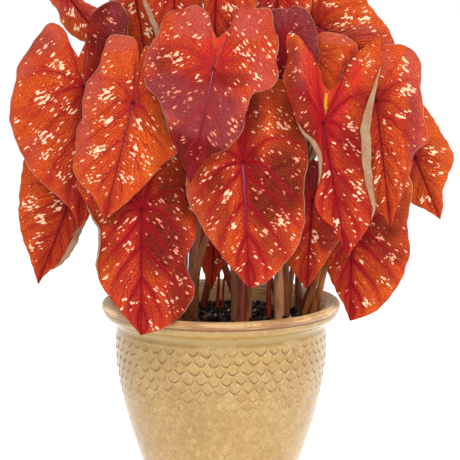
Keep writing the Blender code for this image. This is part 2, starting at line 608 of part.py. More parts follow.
def outer_radius(height):
    """The pot's outer wall: an upright belly above, drawn in along a curve to the foot."""
    fall = np.clip((BELLY_HEIGHT - height) / BELLY_HEIGHT, 0.0, 1.0)
    return BELLY_RADIUS - (BELLY_RADIUS - FOOT_RADIUS) * fall**BELLY_CURVE


def inner_radius(height):
    return outer_radius(height) - WALL


def pot_profile():
    """Half section: inner floor, inner wall, rolled rim, collar, belly and foot."""
    corner = FLOOR + FLOOR_FILLET
    lip = RIM_RADIUS - RIM_BAND
    inside = [(0.0, FLOOR), (inner_radius(FLOOR) - FLOOR_FILLET, FLOOR)]
    inside += [(inner_radius(z), z) for z in (corner, *WALL_HEIGHTS, POT_HEIGHT - 27.0)]
    rim = [(lip - 1.5, POT_HEIGHT - 7.0), (lip + 1.5, POT_HEIGHT - 2.0), (lip + 6.0, POT_HEIGHT),
           (RIM_RADIUS - 4.0, POT_HEIGHT - 1.5), (RIM_RADIUS, POT_HEIGHT - 5.5),
           (RIM_RADIUS - 1.0, POT_HEIGHT - 9.5), (RIM_RADIUS - 5.0, POT_HEIGHT - 12.5),
           (RIM_RADIUS - 10.0, POT_HEIGHT - 15.5), (BELLY_RADIUS - 0.5, POT_HEIGHT - 24.0),
           (BELLY_RADIUS, BELLY_HEIGHT + 10.0)]
    outside = [(outer_radius(z), z) for z in BELLY_HEIGHTS]
    foot = [(FOOT_RADIUS, 2.0), (FOOT_RADIUS - 2.0, 0.0), (0.0, 0.0)]
    return inside + rim + outside + foot


def build_turned(name, profile, look, collection):
    """A turned solid: its half section is carried once round the upright axis."""
    mesh = bpy.data.meshes.new(name)
    points = [(x * MM, 0.0, z * MM) for x, z in profile]
    edges = [(k, k + 1) for k in range(len(points) - 1)]
    mesh.from_pydata(points, edges, [])
    mesh.materials.append(look)
    made = bpy.data.objects.new(name, mesh)
    collection.objects.link(made)
    turned = made.modifiers.new("turned", "SCREW")
    turned.steps = turned.render_steps = POT_STEPS
    turned.use_merge_vertices = True
    turned.merge_threshold = 0.00005
    turned.use_smooth_shade = True
    return made


def soil_level(x, y):
    """Height of the soil's surface in mm: low mounds that die out at the pot's wall."""
    mounds = np.sin(0.11 * x + 1.0) * np.cos(0.13 * y + 0.4) + 0.5 * np.sin(0.23 * (x + y))
    radius = np.hypot(x, y)
    edge = np.clip((inner_radius(SOIL_HEIGHT) - radius) / SOIL_EDGE, 0.0, 1.0)
    return SOIL_HEIGHT + SOIL_BUMP * mounds * edge


def build_soil(look, collection):
    """The soil fills the pot to below its rim, with its top in low mounds."""
    heights = (SOIL_HEIGHT, *WALL_HEIGHTS[::-1], FLOOR + FLOOR_FILLET + SEAT_GAP)
    wall = [(inner_radius(z) - SEAT_GAP, z) for z in heights]
    bottom = FLOOR + SEAT_GAP
    floor = [(inner_radius(FLOOR) - FLOOR_FILLET - SEAT_GAP, bottom), (0.0, bottom)]
    top_radius = wall[0][0]
    top = [(top_radius * k / SOIL_RINGS, SOIL_HEIGHT) for k in range(SOIL_RINGS)]
    turned = build_turned("soil", top + wall + floor, look, collection)
    evaluated = turned.evaluated_get(bpy.context.evaluated_depsgraph_get())
    mesh = bpy.data.meshes.new_from_object(evaluated)
    turned.modifiers.clear()
    turned.data = mesh
    for vertex in mesh.vertices:
        if vertex.co.z > (SOIL_HEIGHT - SEAT_GAP) * MM:
            vertex.co.z = soil_level(vertex.co.x / MM, vertex.co.y / MM) * MM
    return turned


def cut_holes(soil, roots, guides):
    """Plain round holes in the soil, one for each stem, a little wider than the stem."""
    for x, y, diameter in roots:
        radius = (0.5 * diameter + SEAT_GAP) / math.cos(math.pi / HOLE_SIDES)
        bottom = SOIL_HEIGHT - ROOT_DEPTH - SEAT_GAP
        height = SOIL_HEIGHT + HOLE_RISE - bottom
        bpy.ops.mesh.primitive_cylinder_add(
            vertices=HOLE_SIDES, radius=radius * MM, depth=height * MM,
            location=(x * MM, y * MM, (bottom + 0.5 * height) * MM))
        hole = bpy.context.object
        hole.name = "soil_hole"
        hole.hide_render = True
        hole.display_type = "WIRE"
        for holder in list(hole.users_collection):
            holder.objects.unlink(hole)
        guides.objects.link(hole)
    cut = soil.modifiers.new("stem_holes", "BOOLEAN")
    cut.operation = "DIFFERENCE"
    cut.operand_type = "COLLECTION"
    cut.collection = guides
    cut.solver = "EXACT"


def main():
    for thing in list(bpy.data.objects):
        bpy.data.objects.remove(thing)
    plant = bpy.data.collections.new("potted_caladium")
    guides = bpy.data.collections.new("guides")
    bpy.context.scene.collection.children.link(plant)
    bpy.context.scene.collection.children.link(guides)

    glaze = material("glaze", GLAZE)
    earth = material("soil", SOIL_COLOUR)
    red = material("leaf_red", BLADE_COLOUR)
    maroon = material("leaf_maroon", SHADED_BLADE_COLOUR)
    stalks = material("petiole", PETIOLE_COLOUR)

    build_turned("pot", pot_profile(), glaze, plant)
    soil = build_soil(earth, plant)
    roots = [(*leaf["root"], leaf["stem"]) for leaf in LEAVES]
    roots.append((*SPROUT_ROOT, SPROUT_DIAMETER))
    cut_holes(soil, roots, guides)
    for leaf in LEAVES:
        build_blade(leaf, maroon if leaf.get("shaded") else red, plant)
        build_petiole(leaf, stalks, plant)
    build_sprout(stalks, plant)


main()
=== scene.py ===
"""Looks of the potted caladium: finely waved and veined blades, streaked petioles, a glazed
pot with a fish-scale relief, and crumbly soil, all in the place that the frame gives them.

The blades follow the same drawing as the solids: a point is (across, down) in millimetres on
a sheet that stands square to the line of sight and meets the pot's axis.  Lengths here are in
millimetres, which MM makes metres; the lights, the floor and the materials are in metres.
"""
import math

import bpy
import numpy as np
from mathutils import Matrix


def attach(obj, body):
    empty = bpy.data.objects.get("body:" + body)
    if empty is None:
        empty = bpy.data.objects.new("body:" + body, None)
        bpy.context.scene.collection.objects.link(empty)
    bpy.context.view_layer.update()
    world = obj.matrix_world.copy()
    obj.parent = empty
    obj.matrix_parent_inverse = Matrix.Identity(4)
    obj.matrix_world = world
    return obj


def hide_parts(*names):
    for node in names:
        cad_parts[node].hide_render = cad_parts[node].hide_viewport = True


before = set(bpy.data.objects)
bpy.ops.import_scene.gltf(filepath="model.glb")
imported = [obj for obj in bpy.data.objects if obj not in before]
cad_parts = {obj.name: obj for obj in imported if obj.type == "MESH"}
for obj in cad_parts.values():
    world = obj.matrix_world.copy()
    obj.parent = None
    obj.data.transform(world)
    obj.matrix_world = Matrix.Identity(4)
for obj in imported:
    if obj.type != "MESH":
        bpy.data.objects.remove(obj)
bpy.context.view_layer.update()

MM = 0.001
SIDES = ("left", "right")
TINY = 1e-9
LEAST_NORMAL = 1e-15
WELD_STEPS = 1e6

# Pot
BELLY_RADIUS = 106.0
BELLY_HEIGHT = 152.0
FOOT_RADIUS = 64.0
BELLY_CURVE = 1.55
WALL = 8.0
FLOOR = 12.0
FLOOR_FILLET = 6.0
INNER_HEIGHTS = (50.0, 95.0, 140.0, 170.0, 184.0)
RIM_LINE = [
    (BELLY_RADIUS - WALL + 0.4, 188.0), (99.4, 193.0), (101.6, 196.8), (105.0, 199.4), (109.5, 201.6),
    (113.5, 203.2), (116.8, 203.3), (119.0, 201.6), (119.9, 199.2), (119.4, 196.8), (118.0, 195.4),
    (118.2, 193.6), (117.6, 191.4), (115.2, 188.8), (112.2, 187.2), (110.6, 186.6), (108.4, 185.0),
    (106.2, 182.4), (105.3, 179.4), (105.8, 176.5)]
FOOT_HEIGHTS = (30.0, 24.0, 18.0, 12.0, 8.0, 5.0)
POT_COLUMNS = 550
RIM_ROWS = 46
FIRST_ROW = 0.6
FINE_ROW = 0.95
COARSE_ROW = 1.9
FINE_LOW = 108.0

# Scales on the pot, with the strength of their relief at some heights
SCALES_ROUND = 50
SCALE_ROW = 9.2
SCALE_DEPTH = 0.92
SCALE_TOP = 176.0
SCALE_FOOT = 34.0
SCALE_STEP = 0.85
SCALE_FALL = 0.40
SCALE_SINK = 0.35
SCALE_GROOVE = 0.45
GROOVE_WIDTH = 0.10
RELIEF_HEIGHTS = (SCALE_FOOT, 80.0, 108.0, 130.0, 148.0, 173.0, SCALE_TOP)
RELIEF_STRENGTHS = (0.0, 0.16, 0.30, 0.75, 1.0, 1.0, 0.0)

# Soil
SOIL_HEIGHT = 182.0
SOIL_BUMP = 2.2
SOIL_EDGE = 20.0
SOIL_SINK = 0.6
SOIL_RINGS = 40
SOIL_COLUMNS = 96
SEAT_GAP = 0.3
ROOT_DEPTH = 24.0
COLLAR_HEIGHT = 3.0
CRUMBS = 3000
CRUMB_SEED = 7
CRUMB_SIZES = (0.9, 2.5)
CRUMB_LIFTS = (-0.4, 0.9)
CRUMB_DENT = 0.3
CRUMB_STRETCHES = (0.6, 1.25)
BIG_SHARE = 0.12
BIG_CRUMB = 1.5

# Drawing sheet, which is also the camera's view
SHEET_CENTRE = 230.0
AXIS_ACROSS = 221.0
EYE_DISTANCE = 1600.0
EYE_HEIGHT = 510.0
EYE_TILT = math.radians(8.4)
SHEET_SIZE = 460.0
SENSOR = 36.0

# Blades
BLADE_THICKNESS = 0.55
RIB_RISE = 0.9
RIB_WIDTH = 1.3
RIB_THINNING = 0.7
VEIN_RISE = 0.5
VEIN_WIDTH = 0.9
RIBS = 84
LOBE_RIBS = 36
RIB_PLACES = np.arange(RIBS + 1) / RIBS
COLUMN_PLACES = np.linspace(0.0, 1.0, 25)
FAN_ANGLE = math.radians(74.0)
RIB_BOW = 0.025
BOW_RISE = 1.4
RIPPLE = 0.28
RIPPLE_WAVES = (7, 11, 17)
MARGIN_WAVES = 5
WAVE_SHIFT = 0.05
MARGIN_SAMPLES = 120
LINE_SAMPLES = 40
QUILT = 1.5
QUILT_SPACING = 16.0
UV_UNIT = 100.0
GRAIN_SHIFT = 40.0
SEED_STEP = 100
PATCH_REACH = 1.35

# Curled margins
CURL_RADIUS = 1.4
CURL_LAP = 0.5
CURL_FROM = 0.9
CURL_STEPS = np.arange(1, 13) / 12
LEAST_RADIUS = 1e-6

# Side veins: each one's share of the margin, from notch to tip, and how they lean
VEIN_SHARES = (0.09, 0.22, 0.355, 0.455, 0.60, 0.745, 0.875)
VEIN_STRAY = 0.014
NOTCH_GAP = 0.6
TIP_GAP = 0.4
VEIN_LEAN = 0.19
LEAN_FROM = 0.12
LEAN_OVER = 0.33
VEIN_ANGLE = math.radians(50.0)

# Petioles
PETIOLE_POINTS = 56
PETIOLE_SIDES = 16
PETIOLE_TOP_RATIO = 0.5
PETIOLE_STRAIGHT = 0.15
PETIOLE_FLARE = 0.22
FLARE_LENGTH = 0.05
STALK_RIDGE = 0.05
SIGHT_STEP = 10.0
UPRIGHT = 0.02

# Sprout
SPROUT_ROOT = (1.0, 52.0)
SPROUT_VIA = [(224, 282, 46), (227, 264, 38), (231, 236, 22), (234, 210, 8)]
SPROUT_DIAMETER = 2.2
SPROUT_ROLL_DIAMETER = 4.4
SPROUT_ROLL_AT = 0.72
SPROUT_ROLL_LENGTH = 0.13
SPROUT_POINT_LENGTH = 0.2
SPROUT_POINT_LEAST = 0.12

# Stage: each light's name, place, the height that it aims at on the pot's axis, size and power
FLOOR_SIZE = 600.0
SURROUND = 0.42
LIGHTS = [
    ("key", (0.95, -1.00, 1.70), 0.3, 0.55, 14.0),
    ("fill", (-0.1, -1.9, 0.95), 0.3, 1.2, 11.0),
    ("above", (-0.5, -1.1, 1.9), 0.45, 1.2, 11.0),
    ("side", (1.60, -0.30, 0.45), 0.2, 0.5, 3.0),
    ("behind_right", (1.3, 1.1, 0.5), 0.2, 0.8, 4.0),
    ("behind_left", (-1.3, 1.1, 0.5), 0.2, 0.8, 2.5),
]

# Colours of the blades' upper sides
BLAZE = (0.800, 0.122, 0.005)
ORANGE = (0.730, 0.090, 0.008)
AMBER = (0.840, 0.250, 0.060)
BRICK = (0.540, 0.030, 0.012)
RED = (0.780, 0.036, 0.022)
CRIMSON = (0.370, 0.005, 0.012)
# Painted shade: maroon, near-black and olive; painted sheen: rose, mauve and pale mauve.
MAROON = (0.090, 0.004, 0.006)
SHADE_BLACK = (0.036, 0.003, 0.002)
UMBER = (0.260, 0.070, 0.004)
OLIVE = (0.190, 0.036, 0.002)
ROSE = (0.530, 0.105, 0.085)
MAUVE = (0.310, 0.050, 0.055)
PALE_MAUVE = (0.500, 0.150, 0.130)
GOLD = (0.640, 0.330, 0.010)
CREAM = (1.000, 0.680, 0.440)
PINK = (0.800, 0.200, 0.120)
FRINGE = (0.860, 0.250, 0.110)
DARK_FRINGE = (0.480, 0.070, 0.055)
EDGE_TAN = (0.620, 0.320, 0.230)
DARK_CORE = (0.120, 0.002, 0.006)
VEIN_PINK = (0.500, 0.055, 0.085)
LILAC = (0.420, 0.140, 0.230)
MIDRIB = (0.210, 0.006, 0.012)
LIGHT_RIB = (0.440, 0.022, 0.014)

# Colours of the blades' under sides
KHAKI = (0.400, 0.255, 0.140)
BLUSH = (0.370, 0.130, 0.080)
UNDER_FLECK = (0.560, 0.400, 0.260)
UNDER_VEIN = (0.330, 0.105, 0.065)

# Colours of the stalks: bright red, maroon, olive brown, orange brown and pinkish tan
STALK_TINTS = [(0.46, 0.045, 0.024), (0.24, 0.036, 0.022), (0.27, 0.095, 0.040),
               (0.56, 0.190, 0.050), (0.88, 0.400, 0.210)]
STALK_LIGHT = (0.80, 0.360, 0.150)
STALK_DARK = (0.07, 0.008, 0.008)
STALK_TOP = (0.30, 0.018, 0.014)

# Colours of the pot and of the soil
GLAZE = {
    "tan": (0.375, 0.220, 0.054), "light tan": (0.430, 0.265, 0.078),
    "pale mottle": (0.54, 0.350, 0.140), "brown mottle": (0.32, 0.170, 0.042),
    # The pale runs are partly painted sheen, the light that the lower belly reflects.
    "pale run and sheen": (0.62, 0.42, 0.20), "brown run": (0.30, 0.160, 0.042),
    "brown grain": (0.25, 0.125, 0.030), "pit": (0.16, 0.08, 0.03),
    # The scales' lit edge is a painted highlight; the shaded edge is pooled glaze with painted shade.
    "lit edge": (0.74, 0.54, 0.32), "shaded edge": (0.28, 0.115, 0.010),
    # The rim is painted lighter behind and darker in front, as light and shade.
    "rim with painted light": (0.90, 0.610, 0.310), "rim with painted shade": (0.56, 0.330, 0.135),
    "rim speck": (0.36, 0.170, 0.060), "rim streak": (0.33, 0.140, 0.050),
    "under bead": (0.24, 0.085, 0.028), "groove": (0.19, 0.070, 0.020),
    "inner edge": (0.26, 0.110, 0.035), "neck": (0.36, 0.240, 0.070),
    "inside": (0.92, 0.600, 0.250), "stain": (0.34, 0.135, 0.040),
}
EARTH = {
    "dark": (0.006, 0.004, 0.004), "brown": (0.045, 0.024, 0.015), "bark": (0.20, 0.105, 0.060),
    "dust": (0.16, 0.100, 0.065), "pale grain": (0.78, 0.70, 0.56),
}

# The shader's sockets by the names that the materials use
SOCKETS = {
    "colour": "Base Color", "roughness": "Roughness", "specular": "Specular IOR Level",
    "coat": "Coat Weight", "coat_roughness": "Coat Roughness",
    "emission_colour": "Emission Color", "emission": "Emission Strength",
}

# What a blade's vertices carry: grids of its shape, soft patches and levels that are even
BLADE_GRIDS = ("spacing", "reach")
# The first two patches are painted: maroon shade and pale rose sheen.
PATCHES = ("dusk", "bloom", "blaze", "glow", "blots", "gold")
LEVELS = ("tone", "olive", "pale", "core", "halo", "flecks")
PLAIN_TINT = 0.5

# Each leaf, drawn as in the solids: joint, notch, tip and the margins from notch to tip on the
# sheet, then how far the blade lies and bends back, and its stalk's root, way, thickness and
# tint: 0 bright red, 0.25 maroon, 0.5 olive brown, 0.75 orange brown, 1 pinkish.  A leaf may
# also have a turn round the pot's axis in degrees, a fold from 0 to 1 along its midrib, curls,
# each from one share of the margin to another and so many millimetres wide, and a shaded
# mark, which one dark leaf has.
LEAVES = [
    dict(
        name="leaf_far_left", joint=(83.5, 87), notch=(78.5, 57), tip=(79.5, 229),
        left=[(71, 45), (64, 29), (51, 22), (40, 33), (28, 50), (20, 61), (15, 82), (10, 105),
              (11.5, 130), (20, 150), (30, 170), (50, 190), (70, 209)],
        right=[(83, 47), (90, 30), (90, 16), (103, 4), (117, 0), (126, 10), (128, 38), (128, 65),
               (126, 95), (119, 125), (111, 160), (100, 193), (88, 217)],
        depth=-38, tip_back=-5, lobes_back=6, left_back=14, right_back=6, belly=4, wave=1.5,
        root=(-61, 10), via=[(170, 262, 8), (128, 165, -2), (95, 98, -12)], stem=6.4, tint=0.30,
    ),
    dict(
        name="leaf_low_left", joint=(68, 206), notch=(64, 186), tip=(38, 284.5),
        left=[(54, 166), (41, 152), (28, 153), (22, 170), (20, 187), (18.5, 210), (21, 233), (27, 250),
              (33, 268)],
        right=[(73, 174), (84, 178), (91, 194), (88, 212), (80, 231), (70, 252), (58, 265), (46, 274)],
        depth=-4, tip_back=-14, lobes_back=4, left_back=8, right_back=-2, belly=2, wave=1.0,
        curls={"right": (0.38, 0.86, 9.0)},
        root=(-72, 30), via=[(166, 240, 28), (118, 185, 22), (84, 192, 10)], stem=5.2, tint=0.60,
    ),
    dict(
        name="leaf_front_left", joint=(133, 103), notch=(139.5, 68), tip=(104, 221),
        left=[(139, 55), (134, 38), (124, 35), (111, 35), (104, 48), (98, 68), (87, 82), (83, 98),
              (82, 117), (76, 132), (76, 152), (72.5, 165), (78, 180), (92, 195), (99, 208)],
        right=[(141, 55), (147, 45), (155, 55), (159, 77), (162, 100), (164, 122), (172, 138), (178, 152),
               (168, 160), (152, 177), (138, 192), (120, 208)],
        depth=-80, tip_back=-18, lobes_back=16, left_back=12, right_back=16, belly=4, wave=1.5,
        root=(-50, -10), via=[(160, 250, -25), (143, 160, -42), (135, 112, -64)], stem=6.6, tint=0.40,
    ),
    dict(
        name="leaf_top_centre", joint=(213.5, 69), notch=(217, 39), tip=(190, 184),
        left=[(212, 27), (208, 13), (195, 5), (182, 9), (168, 12), (158, 33), (148, 50), (143.5, 66),
              (147, 88), (157, 97), (163, 112), (169, 132), (176, 149), (184, 167)],
        right=[(225, 32), (233, 22), (236, 11), (246, 5), (258, 8.5), (269, 7.5), (274, 25), (279, 45),
               (276, 61), (279, 78), (268, 89), (254, 94), (247, 108), (242, 132), (229, 147), (208, 159),
               (196, 173)],
        depth=-92, tip_back=-6, lobes_back=30, left_back=9, right_back=9, belly=4, wave=2.0,
        root=(-33, -25), via=[(194, 262, -34), (204, 180, -44), (211, 92, -60)], stem=7.4, tint=0.42,
    ),
    dict(
        name="leaf_front_centre", joint=(243, 162.5), notch=(240, 136), tip=(249.5, 288.5),
        left=[(236, 118), (226, 108), (212, 114), (200, 134), (191, 158), (186, 182), (188, 200),
              (196, 216), (206, 234), (218, 251), (234, 271)],
        right=[(241, 116), (248, 96), (264, 84), (283, 80), (290, 95), (297, 119), (306, 140), (308, 158),
               (304, 190), (305, 220), (297, 247), (282, 267), (263, 284)],
        depth=-70, tip_back=-24, lobes_back=16, left_back=-3, right_back=7, belly=5, wave=1.5,
        root=(-28, -11), via=[(199, 262, -20), (219, 210, -32), (238, 170, -50)], stem=7.6, tint=0.58,
    ),
    dict(
        name="leaf_right_centre", joint=(323, 123), notch=(332, 91), tip=(347, 259),
        left=[(326, 88), (320, 69), (308, 49), (297, 35), (288, 33), (286, 46), (288, 58), (283, 76),
              (289, 99), (300, 127), (313, 144), (320, 160), (319, 183), (315, 205), (323, 219),
              (337, 231), (343, 246)],
        right=[(338, 84), (344, 73), (351, 60), (364, 47), (380, 38.5), (381, 58), (377, 80), (372, 102),
               (369, 125), (369, 150), (371, 185), (373, 213), (364, 234), (354, 247)],
        depth=-62, tip_back=-34, lobes_back=-4, left_back=-18, right_back=-20, belly=1.5,
        wave=1.0, fold=0.30, curls={"right": (0.34, 0.84, 12.5), "left": (0.53, 0.74, 8.0)},
        root=(66, 2), via=[(287, 262, -2), (303, 175, -8), (319, 132, -36)], stem=5.6, tint=0.55,
    ),
    dict(
        name="leaf_right_upper", joint=(376, 101), notch=(371, 77), tip=(391, 228),
        left=[(365, 64), (356, 62), (348, 76), (345, 98), (346, 124), (350, 150), (358, 175), (371, 199),
              (382, 214)],
        right=[(374, 58), (380, 45), (393, 44), (412, 49), (420, 60), (421, 85), (424, 115), (427, 142),
               (416, 151), (410, 172), (402, 196), (395, 214)],
        depth=-40, tip_back=-26, lobes_back=12, left_back=14, right_back=12, belly=4, wave=1.5,
        root=(93, 6), via=[(330, 250, 0), (356, 165, -2), (372, 112, -18)], stem=6.0, tint=0.70,
    ),
    dict(
        name="leaf_far_right", joint=(415, 158), notch=(413, 134), tip=(440.5, 219.5),
        left=[(406, 119), (398, 126), (394, 146), (396, 170), (403, 192), (411, 203), (424, 209)],
        right=[(414, 115), (422, 105), (433, 118), (443, 135), (454, 158), (449, 174), (443, 191),
               (443, 207)],
        depth=14, tip_back=-12, lobes_back=8, left_back=4, right_back=10, belly=3, wave=1.5,
        root=(67, 45), via=[(296, 255, 44), (346, 170, 44), (398, 151, 36)], stem=5.4, tint=0.65,
    ),
    dict(
        name="leaf_low_right", joint=(352, 232), notch=(353, 208), tip=(350, 321),
        left=[(347, 192), (336, 187), (326, 197), (321, 216), (322, 241), (325, 262), (333, 285),
              (344, 306)],
        right=[(360, 190), (376, 173), (394, 168), (408, 174), (413, 190), (409, 210), (408, 230),
               (410, 252), (404, 274), (391, 296), (376, 311), (361, 318)],
        depth=-22, tip_back=-26, lobes_back=6, left_back=8, right_back=12, belly=5, wave=1.5,
        root=(86, 22), via=[(319, 272, 14), (330, 244, 8), (344, 232, -2)], stem=5.8, tint=0.74,
    ),
    dict(
        name="leaf_low_front", joint=(141.5, 209), notch=(140, 190), tip=(141, 335.5),
        left=[(132, 177), (116, 168), (98, 166), (82, 173), (76, 182), (83, 198), (92, 215), (99, 229),
              (100, 246), (97, 268), (101, 284), (112, 301), (128, 320)],
        right=[(148, 174), (160, 160), (174, 152), (186, 170), (192, 190), (197, 212), (195, 240),
               (186, 260), (190, 277), (195, 286), (188, 307), (170, 325), (150, 333)],
        depth=-74, tip_back=-47, lobes_back=20, left_back=8, right_back=8, belly=4, wave=1.5,
        curls={"left": (0.42, 0.72, 5.0)},
        root=(-42, -35), via=[(175, 290, -48), (158, 240, -52), (145, 212, -62)], stem=7.0, tint=0.55,
    ),
    dict(
        name="leaf_top_left", joint=(64, -8), notch=(58, -22), tip=(122, 66),
        left=[(52, -34), (40, -28), (41, -14), (49, 0), (57, 10), (61, 22), (70, 34), (84, 42),
              (102, 55)],
        right=[(66, -34), (80, -32), (84, -14), (84, 0), (97, 8), (110, 22), (121, 44)],
        depth=6, tip_back=6, lobes_back=6, left_back=6, right_back=8, belly=2, wave=1.0,
        root=(-54, 35), via=[(158, 215, 34), (114, 110, 32), (78, 10, 24)], stem=5.2,
    ),
    dict(
        name="leaf_scarlet", joint=(134, -14), notch=(132, -32), tip=(150, 84),
        left=[(124, -44), (111, -38), (108, -18), (110, 8), (117, 36), (130, 64)],
        right=[(142, -45), (157, -38), (166, -14), (169, 14), (167, 44), (160, 68)],
        depth=-4, tip_back=-6, lobes_back=20, left_back=8, right_back=8, belly=2, wave=1.0,
        root=(-39, 15), via=[(184, 190, 16), (165, 100, 14), (138, -4, 10)], stem=5.6, tint=0.15,
    ),
    dict(
        name="leaf_dark_red", joint=(173, -12), notch=(172, -28), tip=(180, 88),
        left=[(164, -40), (150, -38), (141, -20), (144, 0), (150, 16), (157, 34), (165, 60)],
        right=[(182, -40), (194, -34), (200, -14), (203, 10), (198, 40), (190, 68)],
        depth=-32, tip_back=-10, lobes_back=20, left_back=-2, right_back=8, belly=3, wave=1.0,
        curls={"left": (0.34, 0.80, 8.0)},
        root=(-32, 30), via=[(192, 200, 24), (186, 110, 8), (176, -2, -14)], stem=5.8,
    ),
    dict(
        name="leaf_top_inner", joint=(217, -22), notch=(217, -38), tip=(213, 76),
        left=[(211, -50), (202, -46), (202, -22), (203, 3), (203, 28), (206, 54)],
        right=[(226, -52), (242, -48), (252, -26), (257, 2), (249, 28), (232, 56)],
        depth=-36, tip_back=-12, lobes_back=22, left_back=6, right_back=8, belly=3, wave=1.0,
        root=(14, -25), via=[(235, 262, -22), (229, 140, -14), (219, -10, -18)], stem=7.0, tint=0.50,
    ),
    dict(
        name="leaf_top_behind", joint=(279, -16), notch=(280, -32), tip=(268, 84),
        left=[(272, -46), (257, -42), (250, -22), (253, 4), (252, 34), (258, 62)],
        right=[(290, -46), (304, -40), (312, -18), (310, 12), (299, 42), (284, 66)],
        depth=-4, tip_back=-6, lobes_back=20, left_back=6, right_back=6, belly=3, wave=1.0,
        root=(20, -40), via=[(243, 262, -30), (250, 130, -2), (276, 2, 12)], stem=5.6, tint=0.22,
    ),
    dict(
        name="leaf_maroon", joint=(287, 38), notch=(288, 10), tip=(300, 140),
        left=[(285, 9), (274, 9), (264, 24), (261, 48), (266, 76), (276, 102), (288, 124)],
        right=[(293, 6), (305, 9), (313, 20), (318, 42), (319, 66), (316, 94), (309, 122)],
        depth=-36, tip_back=6, lobes_back=6, left_back=6, right_back=6, belly=3, wave=1.0,
        root=(26, -20), via=[(249, 262, -24), (266, 150, -16), (285, 54, -25)], stem=7.0, tint=0.62,
        shaded=True,
    ),
    dict(
        name="leaf_top_right", joint=(318, 26), notch=(307, 21), tip=(401, 72),
        left=[(298, 34), (306, 56), (326, 76), (352, 86), (381, 83)],
        right=[(299, 5), (303, -20), (322, -38), (345, -33), (362, -8), (375, 12), (390, 31), (396, 50)],
        depth=2, tip_back=-4, lobes_back=16, left_back=4, right_back=14, belly=4, wave=1.5,
        root=(58.5, -7), via=[(279, 262, 0), (290, 140, 12), (312, 48, 22)], stem=8.4, tint=0.97,
    ),
    dict(
        name="leaf_orange", joint=(313, 56), notch=(312, 42), tip=(320, 118),
        left=[(306, 35), (297, 42), (293, 62), (297, 84), (308, 104)],
        right=[(320, 33), (336, 33), (348, 37), (358, 48), (350, 60), (341, 76), (332, 98)],
        depth=-24, tip_back=-2, lobes_back=2, left_back=3, right_back=3, belly=2, wave=0.8,
        root=(60, 27), via=[(284, 262, 26), (301, 150, 8), (312, 72, -4)], stem=5.6, tint=0.30,
    ),
    dict(
        name="leaf_low_centre", joint=(312, 200), notch=(313, 158), tip=(306.5, 289),
        left=[(310, 162), (304, 148), (293, 150), (284, 174), (279, 205), (279, 232), (284, 257),
              (297, 277)],
        right=[(316, 161), (324, 149), (337, 166), (346, 192), (347, 217), (343, 234), (333, 250),
               (318, 273)],
        depth=-38, tip_back=-6, lobes_back=4, left_back=5, right_back=9, belly=3, wave=1.0,
        root=(48, 0), via=[(270, 275, -8), (284, 232, -14), (304, 204, -22)], stem=4.4, tint=0.12,
    ),
    dict(
        name="leaf_small", joint=(215, 228), notch=(215, 218), tip=(211.5, 290),
        left=[(210, 210), (202, 212), (198, 226), (198, 245), (202, 268)],
        right=[(221, 209), (231, 213), (235, 230), (231, 252), (219, 274)],
        depth=-4, tip_back=-4, lobes_back=4, left_back=5, right_back=5, belly=1.5, wave=0.6,
        root=(-4, 46), via=[(219, 268, 34), (218, 240, 18)], stem=3.2, tint=0.0,
    ),
    dict(
        name="leaf_back_centre", turn=180, joint=(232, 72), notch=(229, 46), tip=(238, 196),
        left=[(222, 26), (203, 14), (184, 26), (174, 54), (175, 92), (186, 128), (204, 162), (223, 184)],
        right=[(240, 28), (258, 15), (279, 26), (291, 56), (290, 94), (280, 130), (264, 164), (250, 184)],
        depth=-124, tip_back=-18, lobes_back=24, left_back=12, right_back=12, belly=4, wave=2.0,
        root=(19, 52), via=[(224, 262, -56), (226, 160, -56), (230, 98, -78)], stem=6.6, tint=0.20,
    ),
    dict(
        name="leaf_back_left", turn=165, joint=(330, 98), notch=(334, 72), tip=(352, 214),
        left=[(327, 54), (312, 42), (293, 52), (284, 80), (286, 116), (300, 152), (322, 184), (340, 202)],
        right=[(344, 55), (361, 46), (378, 60), (387, 90), (388, 124), (382, 158), (370, 188),
               (360, 203)],
        depth=-86, tip_back=-14, lobes_back=20, left_back=12, right_back=12, belly=4, wave=2.0,
        root=(-18, 62), via=[(248, 262, -60), (284, 170, -56), (322, 108, -64)], stem=6.2, tint=0.25,
    ),
    dict(
        name="leaf_back_right", turn=195, joint=(122, 90), notch=(118, 64), tip=(98, 206),
        left=[(110, 46), (92, 38), (74, 52), (64, 82), (62, 116), (68, 150), (80, 182), (90, 198)],
        right=[(126, 45), (142, 36), (160, 48), (168, 78), (166, 112), (152, 148), (128, 180),
               (110, 198)],
        depth=-86, tip_back=-14, lobes_back=20, left_back=12, right_back=12, belly=4, wave=2.0,
        root=(64, 66), via=[(166, 262, -56), (142, 170, -50), (128, 100, -64)], stem=6.2,
    ),
    dict(
        name="leaf_back_low", turn=180, joint=(214, 160), notch=(214, 137), tip=(206, 258),
        left=[(207, 119), (192, 112), (177, 122), (166, 146), (164, 176), (171, 208), (185, 235),
              (198, 250)],
        right=[(222, 120), (238, 111), (253, 122), (261, 147), (259, 176), (249, 208), (232, 235),
               (216, 249)],
        depth=-85, tip_back=-12, lobes_back=4, left_back=6, right_back=8, belly=4, wave=1.6,
        root=(14, 76), via=[(210, 262, -74), (212, 210, -68), (213, 172, -73)], stem=5.6,
    ),
    dict(
        name="leaf_side_left", turn=-112, joint=(206, 118), notch=(208, 93), tip=(206, 226),
        left=[(201, 76), (185, 66), (168, 76), (159, 102), (159, 134), (168, 168), (184, 199),
              (198, 216)],
        right=[(216, 76), (232, 67), (247, 78), (255, 104), (254, 136), (245, 168), (230, 198),
               (215, 216)],
        depth=-156, tip_back=-20, lobes_back=16, left_back=10, right_back=10, belly=4, wave=1.6,
        root=(-79, 50), via=[(206, 262, -96), (206, 184, -112), (206, 132, -136)], stem=5.8,
    ),
    dict(
        name="leaf_side_right", turn=108, joint=(250, 100), notch=(248, 74), tip=(244, 216),
